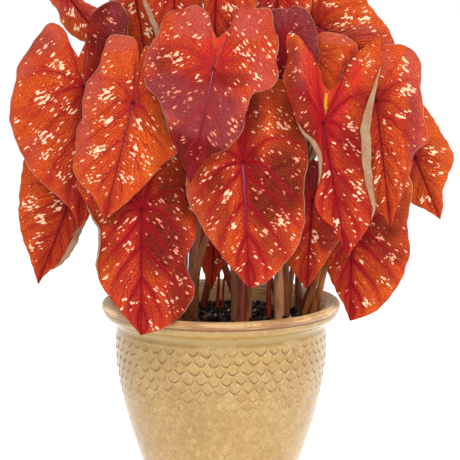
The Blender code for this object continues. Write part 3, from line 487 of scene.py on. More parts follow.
        left=[(241, 56), (224, 46), (207, 57), (198, 84), (198, 118), (207, 154), (222, 186), (235, 206)],
        right=[(256, 56), (272, 46), (288, 58), (296, 86), (295, 120), (286, 154), (270, 186),
               (254, 206)],
        depth=-140, tip_back=-20, lobes_back=18, left_back=10, right_back=10, belly=4, wave=1.6,
        root=(80, 46), via=[(246, 262, -92), (250, 180, -100), (250, 114, -120)], stem=6.0, tint=0.45,
    ),
    dict(
        name="leaf_low_side_left", turn=-95, joint=(184, 172), notch=(186, 152), tip=(180, 256),
        left=[(179, 138), (165, 131), (152, 142), (147, 164), (148, 190), (156, 220), (168, 242)],
        right=[(193, 138), (206, 132), (219, 143), (223, 166), (220, 192), (210, 220), (194, 243)],
        depth=-146, tip_back=-18, lobes_back=6, left_back=8, right_back=8, belly=3, wave=1.4,
        root=(-88, 22), via=[(190, 275, -102), (188, 216, -116), (185, 180, -130)], stem=5.0,
    ),
    dict(
        name="leaf_low_side_right", turn=80, joint=(282, 220), notch=(282, 202), tip=(286, 298),
        left=[(277, 190), (265, 185), (254, 194), (249, 214), (251, 240), (260, 266), (274, 288)],
        right=[(289, 190), (301, 185), (312, 195), (317, 216), (316, 242), (308, 268), (296, 288)],
        depth=-138, tip_back=-16, lobes_back=6, left_back=8, right_back=8, belly=3, wave=1.4,
        root=(83, 38), via=[(262, 282, -94), (276, 250, -104), (282, 229, -120)], stem=5.0, tint=0.35,
    ),
]

# Looks of each leaf.  tone runs from brick red (0) to orange (1), olive tints its painted shade
# green-brown, pale whitens the midrib, core and halo are the strengths of the veins' dark
# middle and of the crimson beside it, flecks is how thickly it is flecked.  The soft patches, in
# the order of PATCHES, are maroon painted shade, pale rose painted sheen, bright orange, plain
# red without flecks, big cream blots and yellow, given as (across, down, half width, half
# height, strength).
PAINT = {
    "leaf_far_left": dict(
        tone=0.44, pale=0.10, core=0.8, halo=0.6, flecks=0.50,
        dusk=[(108, 38, 27, 56, 1.0), (116, 80, 16, 30, 0.9), (40, 44, 18, 14, 0.30),
              (80, 125, 8, 40, 0.45), (77, 190, 16, 28, 0.35)],
        bloom=[(38, 36, 26, 20, 0.55), (24, 66, 12, 14, 0.45), (120, 20, 14, 22, 0.55),
               (30, 150, 10, 14, 0.3)],
        blaze=[(28, 112, 24, 38, 0.35), (62, 80, 20, 8, 0.3), (60, 150, 16, 18, 0.3)],
        blots=[(43, 97, 9, 11, 1.0), (58, 65, 8, 6, 0.9), (71, 108, 8, 6, 0.9), (44, 136, 9, 8, 0.9),
               (46, 155, 8, 6, 0.8), (58, 146, 8, 8, 0.7), (58, 175, 8, 8, 0.7), (111, 21, 8, 7, 0.7)]),
    "leaf_low_left": dict(
        tone=0.90, pale=0.05, core=0.3, halo=0.6, flecks=0.28,
        dusk=[(82, 185, 20, 18, 0.5)],
        blots=[(30, 203, 8, 10, 1.0), (56, 206, 9, 6, 1.0), (41, 219, 8, 7, 1.0), (36, 245, 8, 8, 0.7)]),
    "leaf_front_left": dict(
        tone=0.66, pale=0.45, core=0.9, halo=0.5, flecks=0.60,
        dusk=[(93, 62, 8, 16, 0.20)],
        bloom=[(116, 42, 20, 12, 0.55), (93, 82, 12, 30, 0.60), (84, 132, 8, 38, 0.45)],
        blaze=[(150, 142, 26, 42, 0.65), (128, 78, 9, 26, 0.4), (112, 190, 16, 26, 0.4)],
        blots=[(106, 95, 10, 8, 0.9), (104, 121, 12, 6, 0.9), (96, 152, 10, 8, 0.9),
               (134, 152, 8, 9, 0.8), (93, 177, 9, 6, 0.8), (146, 158, 7, 9, 0.8), (120, 176, 6, 8, 0.7),
               (139, 123, 7, 9, 0.8)]),
    "leaf_top_centre": dict(
        tone=0.20, pale=0.85, core=0.25, halo=0.40, flecks=0.66,
        dusk=[(165, 62, 16, 18, 0.45), (196, 146, 40, 26, 1.0), (190, 166, 24, 34, 1.0),
              (232, 128, 28, 14, 0.75), (226, 80, 28, 9, 0.60), (242, 45, 18, 6, 0.2),
              (176, 90, 40, 20, 0.65), (205, 108, 34, 20, 0.70)],
        glow=[(207, 52, 7, 22, 0.8), (222, 50, 8, 20, 0.8)],
        bloom=[(196, 22, 24, 18, 0.65), (250, 22, 22, 18, 0.60), (168, 98, 34, 26, 1.0),
               (208, 112, 40, 26, 1.0), (226, 134, 18, 14, 0.9), (152, 45, 8, 30, 0.5),
               (262, 80, 14, 30, 0.55)],
        blaze=[(212, 46, 8, 22, 0.25)],
        blots=[(176, 58, 7, 8, 0.9), (243, 52, 9, 7, 0.8), (200, 78, 9, 4, 0.9), (228, 95, 8, 4, 0.7),
               (196, 36, 6, 6, 0.8), (238, 124, 5, 7, 0.9), (173, 93, 9, 5, 0.8), (257, 78, 6, 5, 0.9)]),
    "leaf_front_centre": dict(
        tone=0.50, olive=1.0, pale=1.0, core=0.5, halo=1.0, flecks=0.62,
        dusk=[(284, 180, 24, 40, 0.95), (266, 196, 22, 34, 0.95), (252, 172, 11, 26, 0.95),
              (204, 196, 14, 26, 0.35), (216, 184, 12, 14, 0.7), (222, 212, 10, 14, 0.5),
              (204, 203, 5, 13, 0.45), (211, 219, 5, 13, 0.40), (221, 236, 6, 14, 0.40),
              (250, 110, 14, 36, 0.70), (275, 240, 18, 26, 0.45), (292, 120, 18, 30, 0.60)],
        glow=[(243, 144, 8, 20, 0.8)],
        bloom=[(190, 184, 6, 14, 0.25), (196, 204, 5, 12, 0.25), (203, 220, 5, 12, 0.25),
               (213, 238, 5, 12, 0.25)],
        blaze=[(238, 235, 22, 40, 0.20), (226, 186, 16, 16, 0.20), (190, 184, 6, 14, 0.7),
               (196, 204, 5, 12, 0.7), (203, 220, 5, 12, 0.7), (213, 238, 5, 12, 0.7)],
        blots=[(227, 195, 6, 5, 0.9), (284, 222, 7, 5, 1.0), (281, 126, 7, 5, 0.9),
               (232, 226, 6, 5, 0.8)]),
    "leaf_right_centre": dict(
        tone=0.32, olive=0.25, pale=0.10, core=0.2, halo=1.0, flecks=0.60,
        dusk=[(291, 70, 9, 36, 0.60), (299, 104, 12, 26, 0.65), (306, 128, 12, 22, 0.80),
              (352, 146, 14, 34, 0.50), (340, 196, 10, 24, 0.40), (362, 100, 10, 16, 0.4)],
        glow=[(318, 104, 9, 26, 1.0), (338, 100, 10, 20, 1.0), (330, 118, 12, 12, 1.0),
              (308, 74, 6, 24, 0.8), (356, 78, 6, 20, 0.7)],
        bloom=[(330, 105, 14, 16, 0.25), (300, 70, 8, 30, 0.3)],
        blaze=[(297, 36, 9, 8, 0.7), (368, 54, 9, 10, 0.6), (340, 220, 16, 22, 0.30)],
        gold=[(326, 103, 1.6, 12, 1.0)],
        blots=[(353, 126, 6, 5, 0.9), (360, 195, 7, 6, 1.0), (356, 182, 7, 4, 0.9), (338, 222, 6, 6, 1.0),
               (327, 175, 6, 6, 0.8), (346, 146, 7, 4, 0.9), (370, 60, 6, 8, 0.7)]),
    "leaf_right_upper": dict(
        tone=0.55, pale=0.10, core=0.8, halo=0.5, flecks=0.50,
        dusk=[(412, 130, 9, 42, 0.35), (376, 100, 10, 10, 0.15), (408, 200, 12, 30, 0.30)],
        bloom=[(414, 70, 12, 40, 0.55), (416, 140, 8, 40, 0.55), (386, 60, 10, 16, 0.30)],
        blaze=[(396, 108, 14, 8, 0.35), (386, 188, 16, 34, 0.80)],
        blots=[(403, 64, 6, 8, 0.9), (407, 90, 7, 8, 1.0), (403, 115, 8, 6, 0.9), (375, 155, 7, 6, 0.9),
               (378, 180, 8, 5, 0.8)]),
    "leaf_far_right": dict(
        tone=1.10, pale=0.05, core=0.4, halo=0.35, flecks=0.30,
        bloom=[(416, 160, 6, 18, 0.45), (444, 150, 8, 14, 0.30)],
        blaze=[(430, 180, 22, 30, 0.9), (440, 145, 14, 20, 0.7)],
        blots=[(430, 151, 9, 5, 1.0), (437, 172, 8, 5, 0.9), (424, 198, 8, 7, 0.8)]),
    "leaf_low_right": dict(
        tone=0.75, olive=0.8, pale=0.05, core=0.6, halo=1.1, flecks=0.50,
        dusk=[(378, 232, 26, 18, 0.85), (392, 252, 18, 12, 0.70), (344, 262, 9, 30, 0.60),
              (398, 205, 14, 24, 0.55), (380, 275, 14, 14, 0.35)],
        blaze=[(352, 262, 10, 30, 0.20), (372, 290, 22, 24, 0.35)],
        blots=[(391, 258, 7, 5, 1.0), (383, 282, 8, 5, 0.8), (378, 240, 7, 4, 0.9),
               (368, 304, 7, 5, 0.8)]),
    "leaf_low_front": dict(
        tone=0.28, olive=0.75, pale=0.05, core=0.65, halo=1.0, flecks=0.70,
        dusk=[(162, 240, 26, 38, 0.95), (176, 196, 20, 30, 0.80), (146, 206, 16, 16, 0.75),
              (176, 266, 18, 24, 0.60), (112, 214, 18, 14, 0.45), (110, 250, 12, 16, 0.3),
              (180, 296, 14, 44, 0.75)],
        glow=[(138, 196, 12, 12, 0.6)],
        blaze=[(148, 272, 18, 22, 0.30), (152, 316, 26, 14, 0.20), (108, 272, 10, 22, 0.65)],
        blots=[(128, 247, 6, 6, 0.9), (180, 279, 6, 5, 1.0), (172, 300, 7, 5, 0.8),
               (130, 300, 8, 5, 0.7)]),
    "leaf_top_left": dict(
        tone=0.80, pale=0.0, core=0.2, halo=0.4, flecks=0.45,
        bloom=[(68, 8, 22, 10, 0.55), (88, 14, 10, 14, 0.5)],
        blaze=[(74, 24, 14, 18, 0.4)],
        blots=[(71, 12, 9, 6, 0.9), (80, 27, 8, 5, 0.9)]),
    "leaf_scarlet": dict(
        tone=1.00, pale=0.0, core=0.2, halo=0.4, flecks=0.30,
        glow=[(128, 30, 26, 34, 0.15)],
        blaze=[(134, 20, 18, 44, 0.6)],
        blots=[(148, 30, 5, 9, 1.0), (133, 9, 6, 6, 0.9), (140, 14, 5, 5, 0.8)]),
    "leaf_dark_red": dict(
        tone=0.70, pale=0.0, core=0.3, halo=0.6, flecks=0.35,
        dusk=[(172, 4, 30, 24, 0.20)],
        blots=[(178, 6, 6, 5, 0.9), (162, 3, 5, 4, 0.8)]),
    "leaf_top_inner": dict(
        tone=0.75, olive=0.5, pale=0.0, core=0.3, halo=0.7, flecks=0.35,
        dusk=[(238, 26, 14, 16, 0.30)],
        blaze=[(207, 14, 9, 24, 0.4)],
        blots=[(231, 8, 6, 8, 1.0)]),
    "leaf_top_behind": dict(
        tone=0.40, pale=0.0, core=0.2, halo=0.8, flecks=0.40,
        bloom=[(262, 6, 20, 6, 0.3)],
        blots=[(253, 3, 5, 5, 0.8), (272, 4, 5, 5, 0.8)]),
    "leaf_maroon": dict(
        tone=0.0, pale=0.2, core=0.6, halo=0.6, flecks=0.55,
        dusk=[(295, 50, 44, 80, 1.0)],
        bloom=[(290, 20, 22, 16, 0.75), (310, 40, 10, 30, 0.5)],
        blots=[(302, 30, 6, 4, 0.5)]),
    "leaf_top_right": dict(
        tone=0.90, pale=0.1, core=0.2, halo=0.45, flecks=0.50,
        dusk=[(318, 22, 10, 20, 0.25)],
        bloom=[(360, 32, 30, 8, 0.5), (388, 40, 12, 16, 0.45), (330, 30, 20, 6, 0.5)],
        blaze=[(348, 14, 24, 24, 0.5)],
        blots=[(364, 19, 7, 5, 1.0), (347, 18, 6, 6, 0.9), (330, 5, 6, 4, 0.9), (336, 25, 7, 4, 0.8)]),
    "leaf_orange": dict(
        tone=1.00, pale=0.0, core=0.2, halo=0.35, flecks=0.22,
        bloom=[(336, 36, 24, 10, 0.60)],
        dusk=[(354, 54, 6, 8, 0.30), (347, 66, 6, 9, 0.35), (341, 78, 6, 9, 0.35)],
        glow=[(350, 60, 7, 16, 0.6), (340, 76, 8, 16, 0.6)],
        blaze=[(330, 56, 18, 30, 1.0)],
        blots=[(342, 57, 4, 4, 1.0)]),
    "leaf_low_centre": dict(
        tone=0.60, pale=0.0, core=0.3, halo=0.7, flecks=0.45,
        dusk=[(328, 232, 12, 20, 0.75), (316, 178, 14, 26, 0.55)],
        bloom=[(310, 190, 14, 26, 0.6)],
        blots=[(314, 236, 6, 7, 0.9), (311, 256, 4, 8, 0.8)]),
    "leaf_small": dict(tone=0.55, core=0.2, halo=0.5, flecks=0.25, blots=[(218, 262, 4, 4, 0.7)]),
    "leaf_back_centre": dict(
        tone=0.50, pale=0.5, core=0.4, halo=0.9, flecks=0.55,
        dusk=[(222, 120, 30, 20, 0.5)], bloom=[(222, 60, 40, 24, 0.5)]),
    "leaf_back_left": dict(
        tone=0.35, olive=0.5, core=0.6, halo=0.8, flecks=0.60,
        dusk=[(346, 130, 26, 30, 0.6)], blaze=[(312, 100, 24, 30, 0.5)]),
    "leaf_back_right": dict(
        tone=0.60, core=0.6, halo=0.7, flecks=0.50,
        dusk=[(100, 140, 24, 30, 0.4)], bloom=[(122, 66, 30, 24, 0.5)]),
    "leaf_back_low": dict(
        tone=0.40, olive=0.7, core=0.3, halo=1.0, flecks=0.60,
        dusk=[(222, 200, 34, 24, 0.6)]),
    "leaf_side_left": dict(
        tone=0.50, core=0.5, halo=0.8, flecks=0.50,
        dusk=[(230, 130, 24, 30, 0.4)], bloom=[(200, 90, 30, 24, 0.4)]),
    "leaf_side_right": dict(
        tone=0.65, core=0.4, halo=0.7, flecks=0.50,
        dusk=[(230, 150, 24, 30, 0.4)], bloom=[(262, 80, 30, 24, 0.4)]),
    "leaf_low_side_left": dict(
        tone=0.40, olive=0.6, core=0.4, halo=0.9, flecks=0.55,
        dusk=[(200, 200, 24, 24, 0.6)]),
    "leaf_low_side_right": dict(
        tone=0.55, olive=0.4, core=0.4, halo=0.8, flecks=0.45,
        dusk=[(284, 250, 24, 24, 0.4)]),
}


def turned(x, y, angle):
    """Two coordinates after a turn by an angle, from the first axis towards the second."""
    c, s = np.cos(angle), np.sin(angle)
    return x * c - y * s, x * s + y * c


def unit(vectors, least=0.0):
    """Vectors (number, axis) divided by their lengths; least keeps a vanishing one whole."""
    return vectors / (np.linalg.norm(vectors, axis=1)[:, None] + least)


def place(drawn, turn=0.0):
    """World points in metres of drawn points (across, down, depth in mm): each lies on the line
    of sight through its place on the sheet, depth behind the pot's axis, and is then turned
    round that axis by turn in degrees."""
    across, down, depth = np.moveaxis(np.asarray(drawn, dtype=float), -1, 0)
    sheet = EYE_DISTANCE / math.cos(EYE_TILT)
    right = (across - SHEET_CENTRE) / sheet
    up = (SHEET_CENTRE - down) / sheet
    forward_y = math.cos(EYE_TILT) + up * math.sin(EYE_TILT)
    forward_z = -math.sin(EYE_TILT) + up * math.cos(EYE_TILT)
    reach = (depth + EYE_DISTANCE) / forward_y
    x = SHEET_CENTRE - AXIS_ACROSS + reach * right
    z = EYE_HEIGHT + reach * forward_z
    return np.stack([*turned(x, depth, math.radians(turn)), z], axis=-1) * MM


def smooth_line(points, samples):
    """Points evenly spaced along a smooth curve through the given ones: a cubic between each
    two, whose slopes come from the steps to the neighbours."""
    points = np.asarray(points, dtype=float)
    chords = np.linalg.norm(np.diff(points, axis=0), axis=1)
    knots = np.concatenate([[0.0], np.cumsum(chords)])
    tangents = np.gradient(points, knots, axis=0)
    fine = np.linspace(0.0, knots[-1], LINE_SAMPLES * len(points))
    span = np.clip(np.searchsorted(knots, fine, side="right") - 1, 0, len(points) - 2)
    length = chords[span][:, None]
    t = ((fine - knots[span]) / chords[span])[:, None]
    curve = ((2 * t**3 - 3 * t**2 + 1) * points[span]
             + (t**3 - 2 * t**2 + t) * length * tangents[span]
             + (3 * t**2 - 2 * t**3) * points[span + 1]
             + (t**3 - t**2) * length * tangents[span + 1])
    steps = np.linalg.norm(np.diff(curve, axis=0), axis=1)
    travelled = np.concatenate([[0.0], np.cumsum(steps)])
    wanted = np.linspace(0.0, travelled[-1], samples)
    return np.stack([np.interp(wanted, travelled, column) for column in curve.T], axis=-1)


def leaf_axes(leaf):
    """Joint, length of the midrib, and the drawn unit directions along and across it."""
    joint = np.array(leaf["joint"], dtype=float)
    midrib = np.array(leaf["tip"], dtype=float) - joint
    length = np.linalg.norm(midrib)
    along = midrib / length
    return joint, length, along, np.array([along[1], -along[0]])


def margin_of(leaf, side):
    """The margin of one half, from the notch to the tip."""
    return smooth_line([leaf["notch"], *leaf[side], leaf["tip"]], MARGIN_SAMPLES)


def rib_shares(leaf, side):
    """Where each rib ends on the way from notch to tip: the lobe's ribs share the stretch up to
    where the margin comes level with the joint, and the rest share what is left."""
    joint, _, along, _ = leaf_axes(leaf)
    offset = margin_of(leaf, side) - joint
    slant = np.arccos(np.clip(offset @ along / np.linalg.norm(offset, axis=1), -1, 1))
    level = np.argmax(slant < FAN_ANGLE) / (MARGIN_SAMPLES - 1)
    return np.interp(RIB_PLACES, [0, LOBE_RIBS / RIBS, 1], [0.0, level, 1.0])


def half_blade(leaf, side, rng):
    """Drawn points (rib, column, 2) of one half, and each rib's share of the margin.

    Rib i runs from the spine to the margin.  Over the lobe all ribs fan out from the joint;
    past it they leave the midrib in turn, bowed towards the base as the side veins are.  The
    margin has a small ripple, sines of random phase, that dies out at notch and tip."""
    joint, length, along, _ = leaf_axes(leaf)
    share = rib_shares(leaf, side)
    fine = margin_of(leaf, side)
    position = np.linspace(0.0, 1.0, MARGIN_SAMPLES)
    margin = np.stack([np.interp(share, position, column) for column in fine.T], axis=-1)
    travel = np.clip((np.arange(RIBS + 1) - LOBE_RIBS) / (RIBS - LOBE_RIBS), 0.0, 1.0)
    spine = joint + (travel * length)[:, None] * along
    outward = margin - spine
    rib_length = np.linalg.norm(outward, axis=1)
    ripple = sum(np.sin(2 * np.pi * (waves * share + rng.random())) for waves in RIPPLE_WAVES)
    outward = outward / (rib_length[:, None] + TINY)
    margin = margin + (RIPPLE * ripple * np.sin(np.pi * share) ** 0.5)[:, None] * outward
    v = COLUMN_PLACES[None, :, None]
    bow = RIB_BOW * rib_length * np.sin(np.pi * np.clip(BOW_RISE * travel, 0, 1))
    grid = spine[:, None, :] * (1 - v) + margin[:, None, :] * v
    return grid - (4 * v * (1 - v)) * bow[:, None, None] * along, share


def blade_depth(leaf, drawn, v, rib_share):
    """Depth of the blade: a parabola along the midrib through lobes, joint and tip, sides
    that bend back with the square of their distance, a fold along the midrib, a swell in
    each half and waves that grow towards the margin."""
    joint, length, along, across = leaf_axes(leaf)
    s = (drawn - joint) @ along
    t = (drawn - joint) @ across
    outline = np.concatenate([margin_of(leaf, side) for side in SIDES])
    base = -np.min((outline - joint) @ along)
    reach_right = np.max((outline - joint) @ across)
    reach_left = -np.min((outline - joint) @ across)
    bend = (leaf["lobes_back"] / base + leaf["tip_back"] / length) / (base + length)
    slope = leaf["tip_back"] / length - bend * length
    depth = leaf["depth"] + bend * s**2 + slope * s
    share = np.where(t > 0, t / reach_right, -t / reach_left)
    side = np.where(t > 0, leaf["right_back"], leaf["left_back"])
    fold = leaf.get("fold", 0.0)
    depth = depth + side * ((1 - fold) * share**2 + fold * share)
    middle = np.sin(np.pi * rib_share)
    depth = depth - leaf["belly"] * np.sin(np.pi * v) * middle
    waves = np.sin(2 * np.pi * MARGIN_WAVES * rib_share + WAVE_SHIFT * joint[0])
    return depth + leaf["wave"] * v**3 * waves * middle


def vein_numbers(rng):
    """Vein coordinate of a half blade, on its grid of (rib, column): a whole number on every
    main side vein, halfway between two.  The veins lean towards the tip, the more the nearer to
    the margin, except those that fan out over the lobe's end."""
    shares = np.array(VEIN_SHARES) + rng.uniform(-VEIN_STRAY, VEIN_STRAY, len(VEIN_SHARES))
    knots = np.concatenate([[0.0], shares, [1.0]])
    numbers = np.concatenate([[-NOTCH_GAP], np.arange(len(shares)), [len(shares) - TIP_GAP]])
    rib = RIB_PLACES[:, None]
    leaning = VEIN_LEAN * np.clip((rib - LEAN_FROM) / LEAN_OVER, 0.0, 1.0)
    return np.interp(np.clip(rib - leaning * COLUMN_PLACES, 0.0, 1.0), knots, numbers)


def vein_spacing(half, number):
    """Millimetres between two veins at each point: one over the slope of the vein coordinate
    on the drawn sheet, from the grid's own steps."""
    by_rib = np.gradient(half, axis=0)
    by_column = np.gradient(half, axis=1)
    twist = by_rib[..., 0] * by_column[..., 1] - by_rib[..., 1] * by_column[..., 0]
    number_rib = np.gradient(number, axis=0)
    number_column = np.gradient(number, axis=1)
    slope_x = number_rib * by_column[..., 1] - number_column * by_rib[..., 1]
    slope_y = number_column * by_rib[..., 0] - number_rib * by_column[..., 0]
    return np.abs(twist) / (np.hypot(slope_x, slope_y) + TINY)


def quilting(number, v, spacing):
    """Relief in mm between the side veins: a cosine of the vein coordinate, low on the veins,
    that fades at midrib, margin and where the veins run together."""
    fade = np.sin(np.pi * np.clip(v, 0, 1)) ** 0.7 * np.clip(spacing / QUILT_SPACING, 0, 1)
    return QUILT * fade * (0.5 - 0.5 * np.cos(2 * np.pi * number))


def blade_thickness(flat, reach, number, position, spacing):
    """Thickness in mm: the blade's own, with a round ridge behind the midrib and lower ones
    behind the side veins, each a bell curve of the distance to the vein, all thinner outwards."""
    to_midrib = np.hypot(flat[..., 0], np.minimum(flat[..., 1], 0.0))
    to_side = np.abs(number - np.round(number)) * spacing
    rib = RIB_RISE * (1.0 - RIB_THINNING * reach) * np.exp(-(to_midrib / RIB_WIDTH) ** 2)
    vein = VEIN_RISE * (1.0 - position) * np.exp(-(to_side / VEIN_WIDTH) ** 2)
    return BLADE_THICKNESS + np.maximum(rib, vein)


def curl_strip(curl, half, share):
    """Drawn points and depth offsets of the margin's curl: it turns through half a circle
    towards the front and lies back over the blade, widest in the middle of its stretch."""
    start, end, width = curl
    bump = np.sin(np.pi * np.clip((share - start) / (end - start), 0, 1))
    reach = width * np.sqrt(bump)
    reach[0] = reach[-1] = 0.0
    radius = np.minimum(CURL_RADIUS, reach / (math.pi + CURL_LAP))[:, None]
    travelled = reach[:, None] * CURL_STEPS[None, :]
    turn = np.minimum(travelled / np.maximum(radius, LEAST_RADIUS), math.pi)
    out = radius * np.sin(turn) - np.maximum(travelled - math.pi * radius, 0.0)
    edge = half[:, -1, :]
    outward = unit(edge - half[:, -2, :], TINY)
    return edge[:, None, :] + out[..., None] * outward[:, None, :], -radius * (1 - np.cos(turn))


def with_curl(curl, share, half, depth, number, spacing):
    """The half's grids with the curl's columns joined to them.  The vein coordinates stay as at
    the margin, and the position runs on from where the curl begins."""
    strip, nearer = curl_strip(curl, half, share)
    position = np.concatenate([CURL_FROM * COLUMN_PLACES, CURL_FROM + (1.0 - CURL_FROM) * CURL_STEPS])
    number, spacing = (np.concatenate([grid, np.repeat(grid[:, -1:], len(CURL_STEPS), axis=1)], axis=1)
                       for grid in (number, spacing))
    half = np.concatenate([half, strip], axis=1)
    depth = np.concatenate([depth, depth[:, -1:] + nearer], axis=1)
    return half, depth, number, spacing, np.broadcast_to(position, half.shape[:2])


def patch_mask(patches, drawn):
    """Soft round patches: full strength in the middle, less with the squared distance in half
    widths, and nothing from where that reaches PATCH_REACH."""
    mask = np.zeros(drawn.shape[:-1])
    for across, down, half_width, half_height, strength in patches:
        far = ((drawn[..., 0] - across) / half_width) ** 2 + ((drawn[..., 1] - down) / half_height) ** 2
        mask = np.maximum(mask, strength * np.clip(PATCH_REACH - far, 0.0, 1.0))
    return mask


def half_leaf(leaf, side, index):
    """One half of a blade as grids: world points, and what the material reads at each point."""
    rng = np.random.default_rng(SEED_STEP * index + SIDES.index(side))
    half, share = half_blade(leaf, side, rng)
    number = vein_numbers(rng)
    spacing = vein_spacing(half, number)
    position = np.broadcast_to(COLUMN_PLACES, half.shape[:2])
    depth = blade_depth(leaf, half, position, share[:, None]) - quilting(number, position, spacing)
    curl = leaf.get("curls", {}).get(side)
    if curl:
        half, depth, number, spacing, position = with_curl(curl, share, half, depth, number, spacing)
    joint, length, along, across = leaf_axes(leaf)
    flat = np.stack([(half - joint) @ across, (half - joint) @ along], axis=-1)
    aside, with_veins = turned(flat[..., 0], flat[..., 1], VEIN_ANGLE * (1 if side == "right" else -1))
    reach = np.clip(flat[..., 1] / length, 0.0, 1.0)
    grids = {
        "points": place(np.concatenate([half, depth[..., None]], axis=-1), leaf.get("turn", 0.0)),
        "thickness": blade_thickness(flat, reach, number, position, spacing),
        "veins": np.stack([number, position], axis=-1),
        "flat": flat / UV_UNIT,
        "grain": np.stack([with_veins, aside], axis=-1) / UV_UNIT + rng.uniform(0.0, GRAIN_SHIFT, 2),
        "spacing": spacing,
        "reach": reach,
    }
    for patch in PATCHES:
        grids[patch] = patch_mask(PAINT[leaf["name"]].get(patch, ()), half)
    return grids


def cell_triangles(a, b, c, d):
    """Two triangles for every four-cornered cell, from arrays of its corners' numbers."""
    both = [np.stack([a, b, c], axis=-1), np.stack([a, c, d], axis=-1)]
    return np.stack(both, axis=2).reshape(-1, 3)


def grid_triangles(rows, columns):
    """Triangles of every cell of a grid of points, numbered row by row."""
    index = np.arange(rows * columns).reshape(rows, columns)
    return cell_triangles(index[:-1, :-1], index[:-1, 1:], index[1:, 1:], index[1:, :-1])


def welded_sheet(points, triangles):
    """Makes points that coincide one.  Gives the kept points' numbers, each point's new number,
    and the triangles that keep three different corners."""
    _, first, new = np.unique(np.round(points * WELD_STEPS).astype(np.int64), axis=0,
                              return_index=True, return_inverse=True)
    new = new.reshape(-1)
    a, b, c = new[triangles].T
    return first, new, triangles[(a != b) & (b != c) & (a != c)]


def vertex_normals(points, corners):
    """Unit normals: the cross products of the triangles that meet at each point, summed."""
    a, b, c = (points[column] for column in corners.T)
    cross = np.cross(b - a, c - a)
    normals = np.zeros_like(points)
    for column in corners.T:
        np.add.at(normals, column, cross)
    return unit(normals, LEAST_NORMAL)


def add_mesh(name, points, triangles, look, uv_maps=None, values=None):
    """A mesh object from arrays: uv_maps per corner, values per vertex."""
    mesh = bpy.data.meshes.new(name)
    mesh.from_pydata(points.tolist(), [], triangles.tolist())
    for label, uv in (uv_maps or {}).items():
        layer = mesh.uv_layers.new(name=label)
        layer.data.foreach_set("uv", np.ascontiguousarray(uv, dtype=np.float32).reshape(-1))
    for label, numbers in (values or {}).items():
        layer = mesh.attributes.new(label, "FLOAT", "POINT")
        layer.data.foreach_set("value", np.ascontiguousarray(numbers, dtype=np.float32))
    mesh.materials.append(look)
    mesh.shade_smooth()
    mesh.update()
    made = bpy.data.objects.new(name, mesh)
    bpy.context.scene.collection.objects.link(made)
    return made


def rim_strip(sheet, new, count):
    """The strip between a sheet's edge and that of its copy: two triangles for each edge that
    only one triangle has, the copy's points numbered on from count.  Gives their corners, and
    the sheet's own points that they take their UV from."""
    edges = np.concatenate([sheet[:, [0, 1]], sheet[:, [1, 2]], sheet[:, [2, 0]]])
    ends = new[edges]
    key = np.sort(ends, axis=1) @ np.array([count, 1])
    _, edge, times = np.unique(key, return_inverse=True, return_counts=True)
    once = times[edge.reshape(-1)] == 1
    a, b = ends[once].T
    from_a, from_b = edges[once].T
    corners = np.concatenate([np.stack([b, a, a + count], axis=1),
                              np.stack([b, a + count, b + count], axis=1)])
    source = np.concatenate([np.stack([from_b, from_a, from_a], axis=1),
                             np.stack([from_b, from_a, from_b], axis=1)])
    return corners, source


def build_leaf(leaf, index, look):
    """A blade as a closed shell: both halves' grids welded along the midrib, a copy moved back
    by the thickness along the normals, and a strip of triangles round the edge."""
    halves = [half_leaf(leaf, side, index) for side in SIDES]
    stacked = {key: np.concatenate([half[key].reshape(-1, *half[key].shape[2:]) for half in halves])
               for key in halves[0]}
    left, right = (half["points"].shape[:2] for half in halves)
    both = np.concatenate([grid_triangles(*left), grid_triangles(*right)[:, ::-1] + math.prod(left)])
    first, new, sheet = welded_sheet(stacked["points"], both)
    upper = stacked["points"][first]
    corners = new[sheet]
    lower = upper - vertex_normals(upper, corners) * stacked["thickness"][first][:, None] * MM
    count = len(upper)
    rim, rim_source = rim_strip(sheet, new, count)
    triangles = np.concatenate([corners, corners[:, ::-1] + count, rim])
    source = np.concatenate([sheet, sheet[:, ::-1], rim_source]).reshape(-1)
    values = {label: np.tile(stacked[label][first], 2) for label in (*BLADE_GRIDS, *PATCHES)}
    values["under"] = np.repeat([0.0, 1.0], count)
    for label in LEVELS:
        values[label] = np.full(2 * count, PAINT[leaf["name"]].get(label, 0.0))
    uv_maps = {label: stacked[label][source] for label in ("veins", "flat", "grain")}
    points = np.concatenate([upper, lower])
    return add_mesh(leaf["name"] + "_blade", points, triangles, look, uv_maps, values)


def joint_seat(leaf):
    """World point just inside the under side of the blade at the joint, for the petiole's end."""
    turn = leaf.get("turn", 0.0)
    joint = place([*leaf["joint"], leaf["depth"]], turn)
    behind = place([*leaf["joint"], leaf["depth"] + SIGHT_STEP], turn) - joint
    return joint + behind / np.linalg.norm(behind) * BLADE_THICKNESS * MM


def rings_round(path, radii):
    """Rings of points round a path, square to it, with low ridges that run along it: to the
    girth a cosine and a sine of multiples of the angle round the stem are added."""
    tangents = unit(np.gradient(path, axis=0))
    chord = path[-1] - path[0]
    reference = np.array([chord[1], -chord[0], 0.0])
    if np.linalg.norm(reference) < UPRIGHT:
        reference = np.array([1.0, 0.0, 0.0])
    side = reference / np.linalg.norm(reference)
    first = unit(side - (tangents @ side)[:, None] * tangents)
    second = np.cross(tangents, first)
    angle = np.linspace(0.0, 2 * np.pi, PETIOLE_SIDES, endpoint=False)
    girth = 1.0 + STALK_RIDGE * np.cos(3 * angle + 1.0) + 0.5 * STALK_RIDGE * np.sin(5 * angle)
    ring = np.cos(angle)[:, None] * first[:, None, :] + np.sin(angle)[:, None] * second[:, None, :]
    return path[:, None, :] + ring * (radii[:, None] * girth[None, :])[..., None]


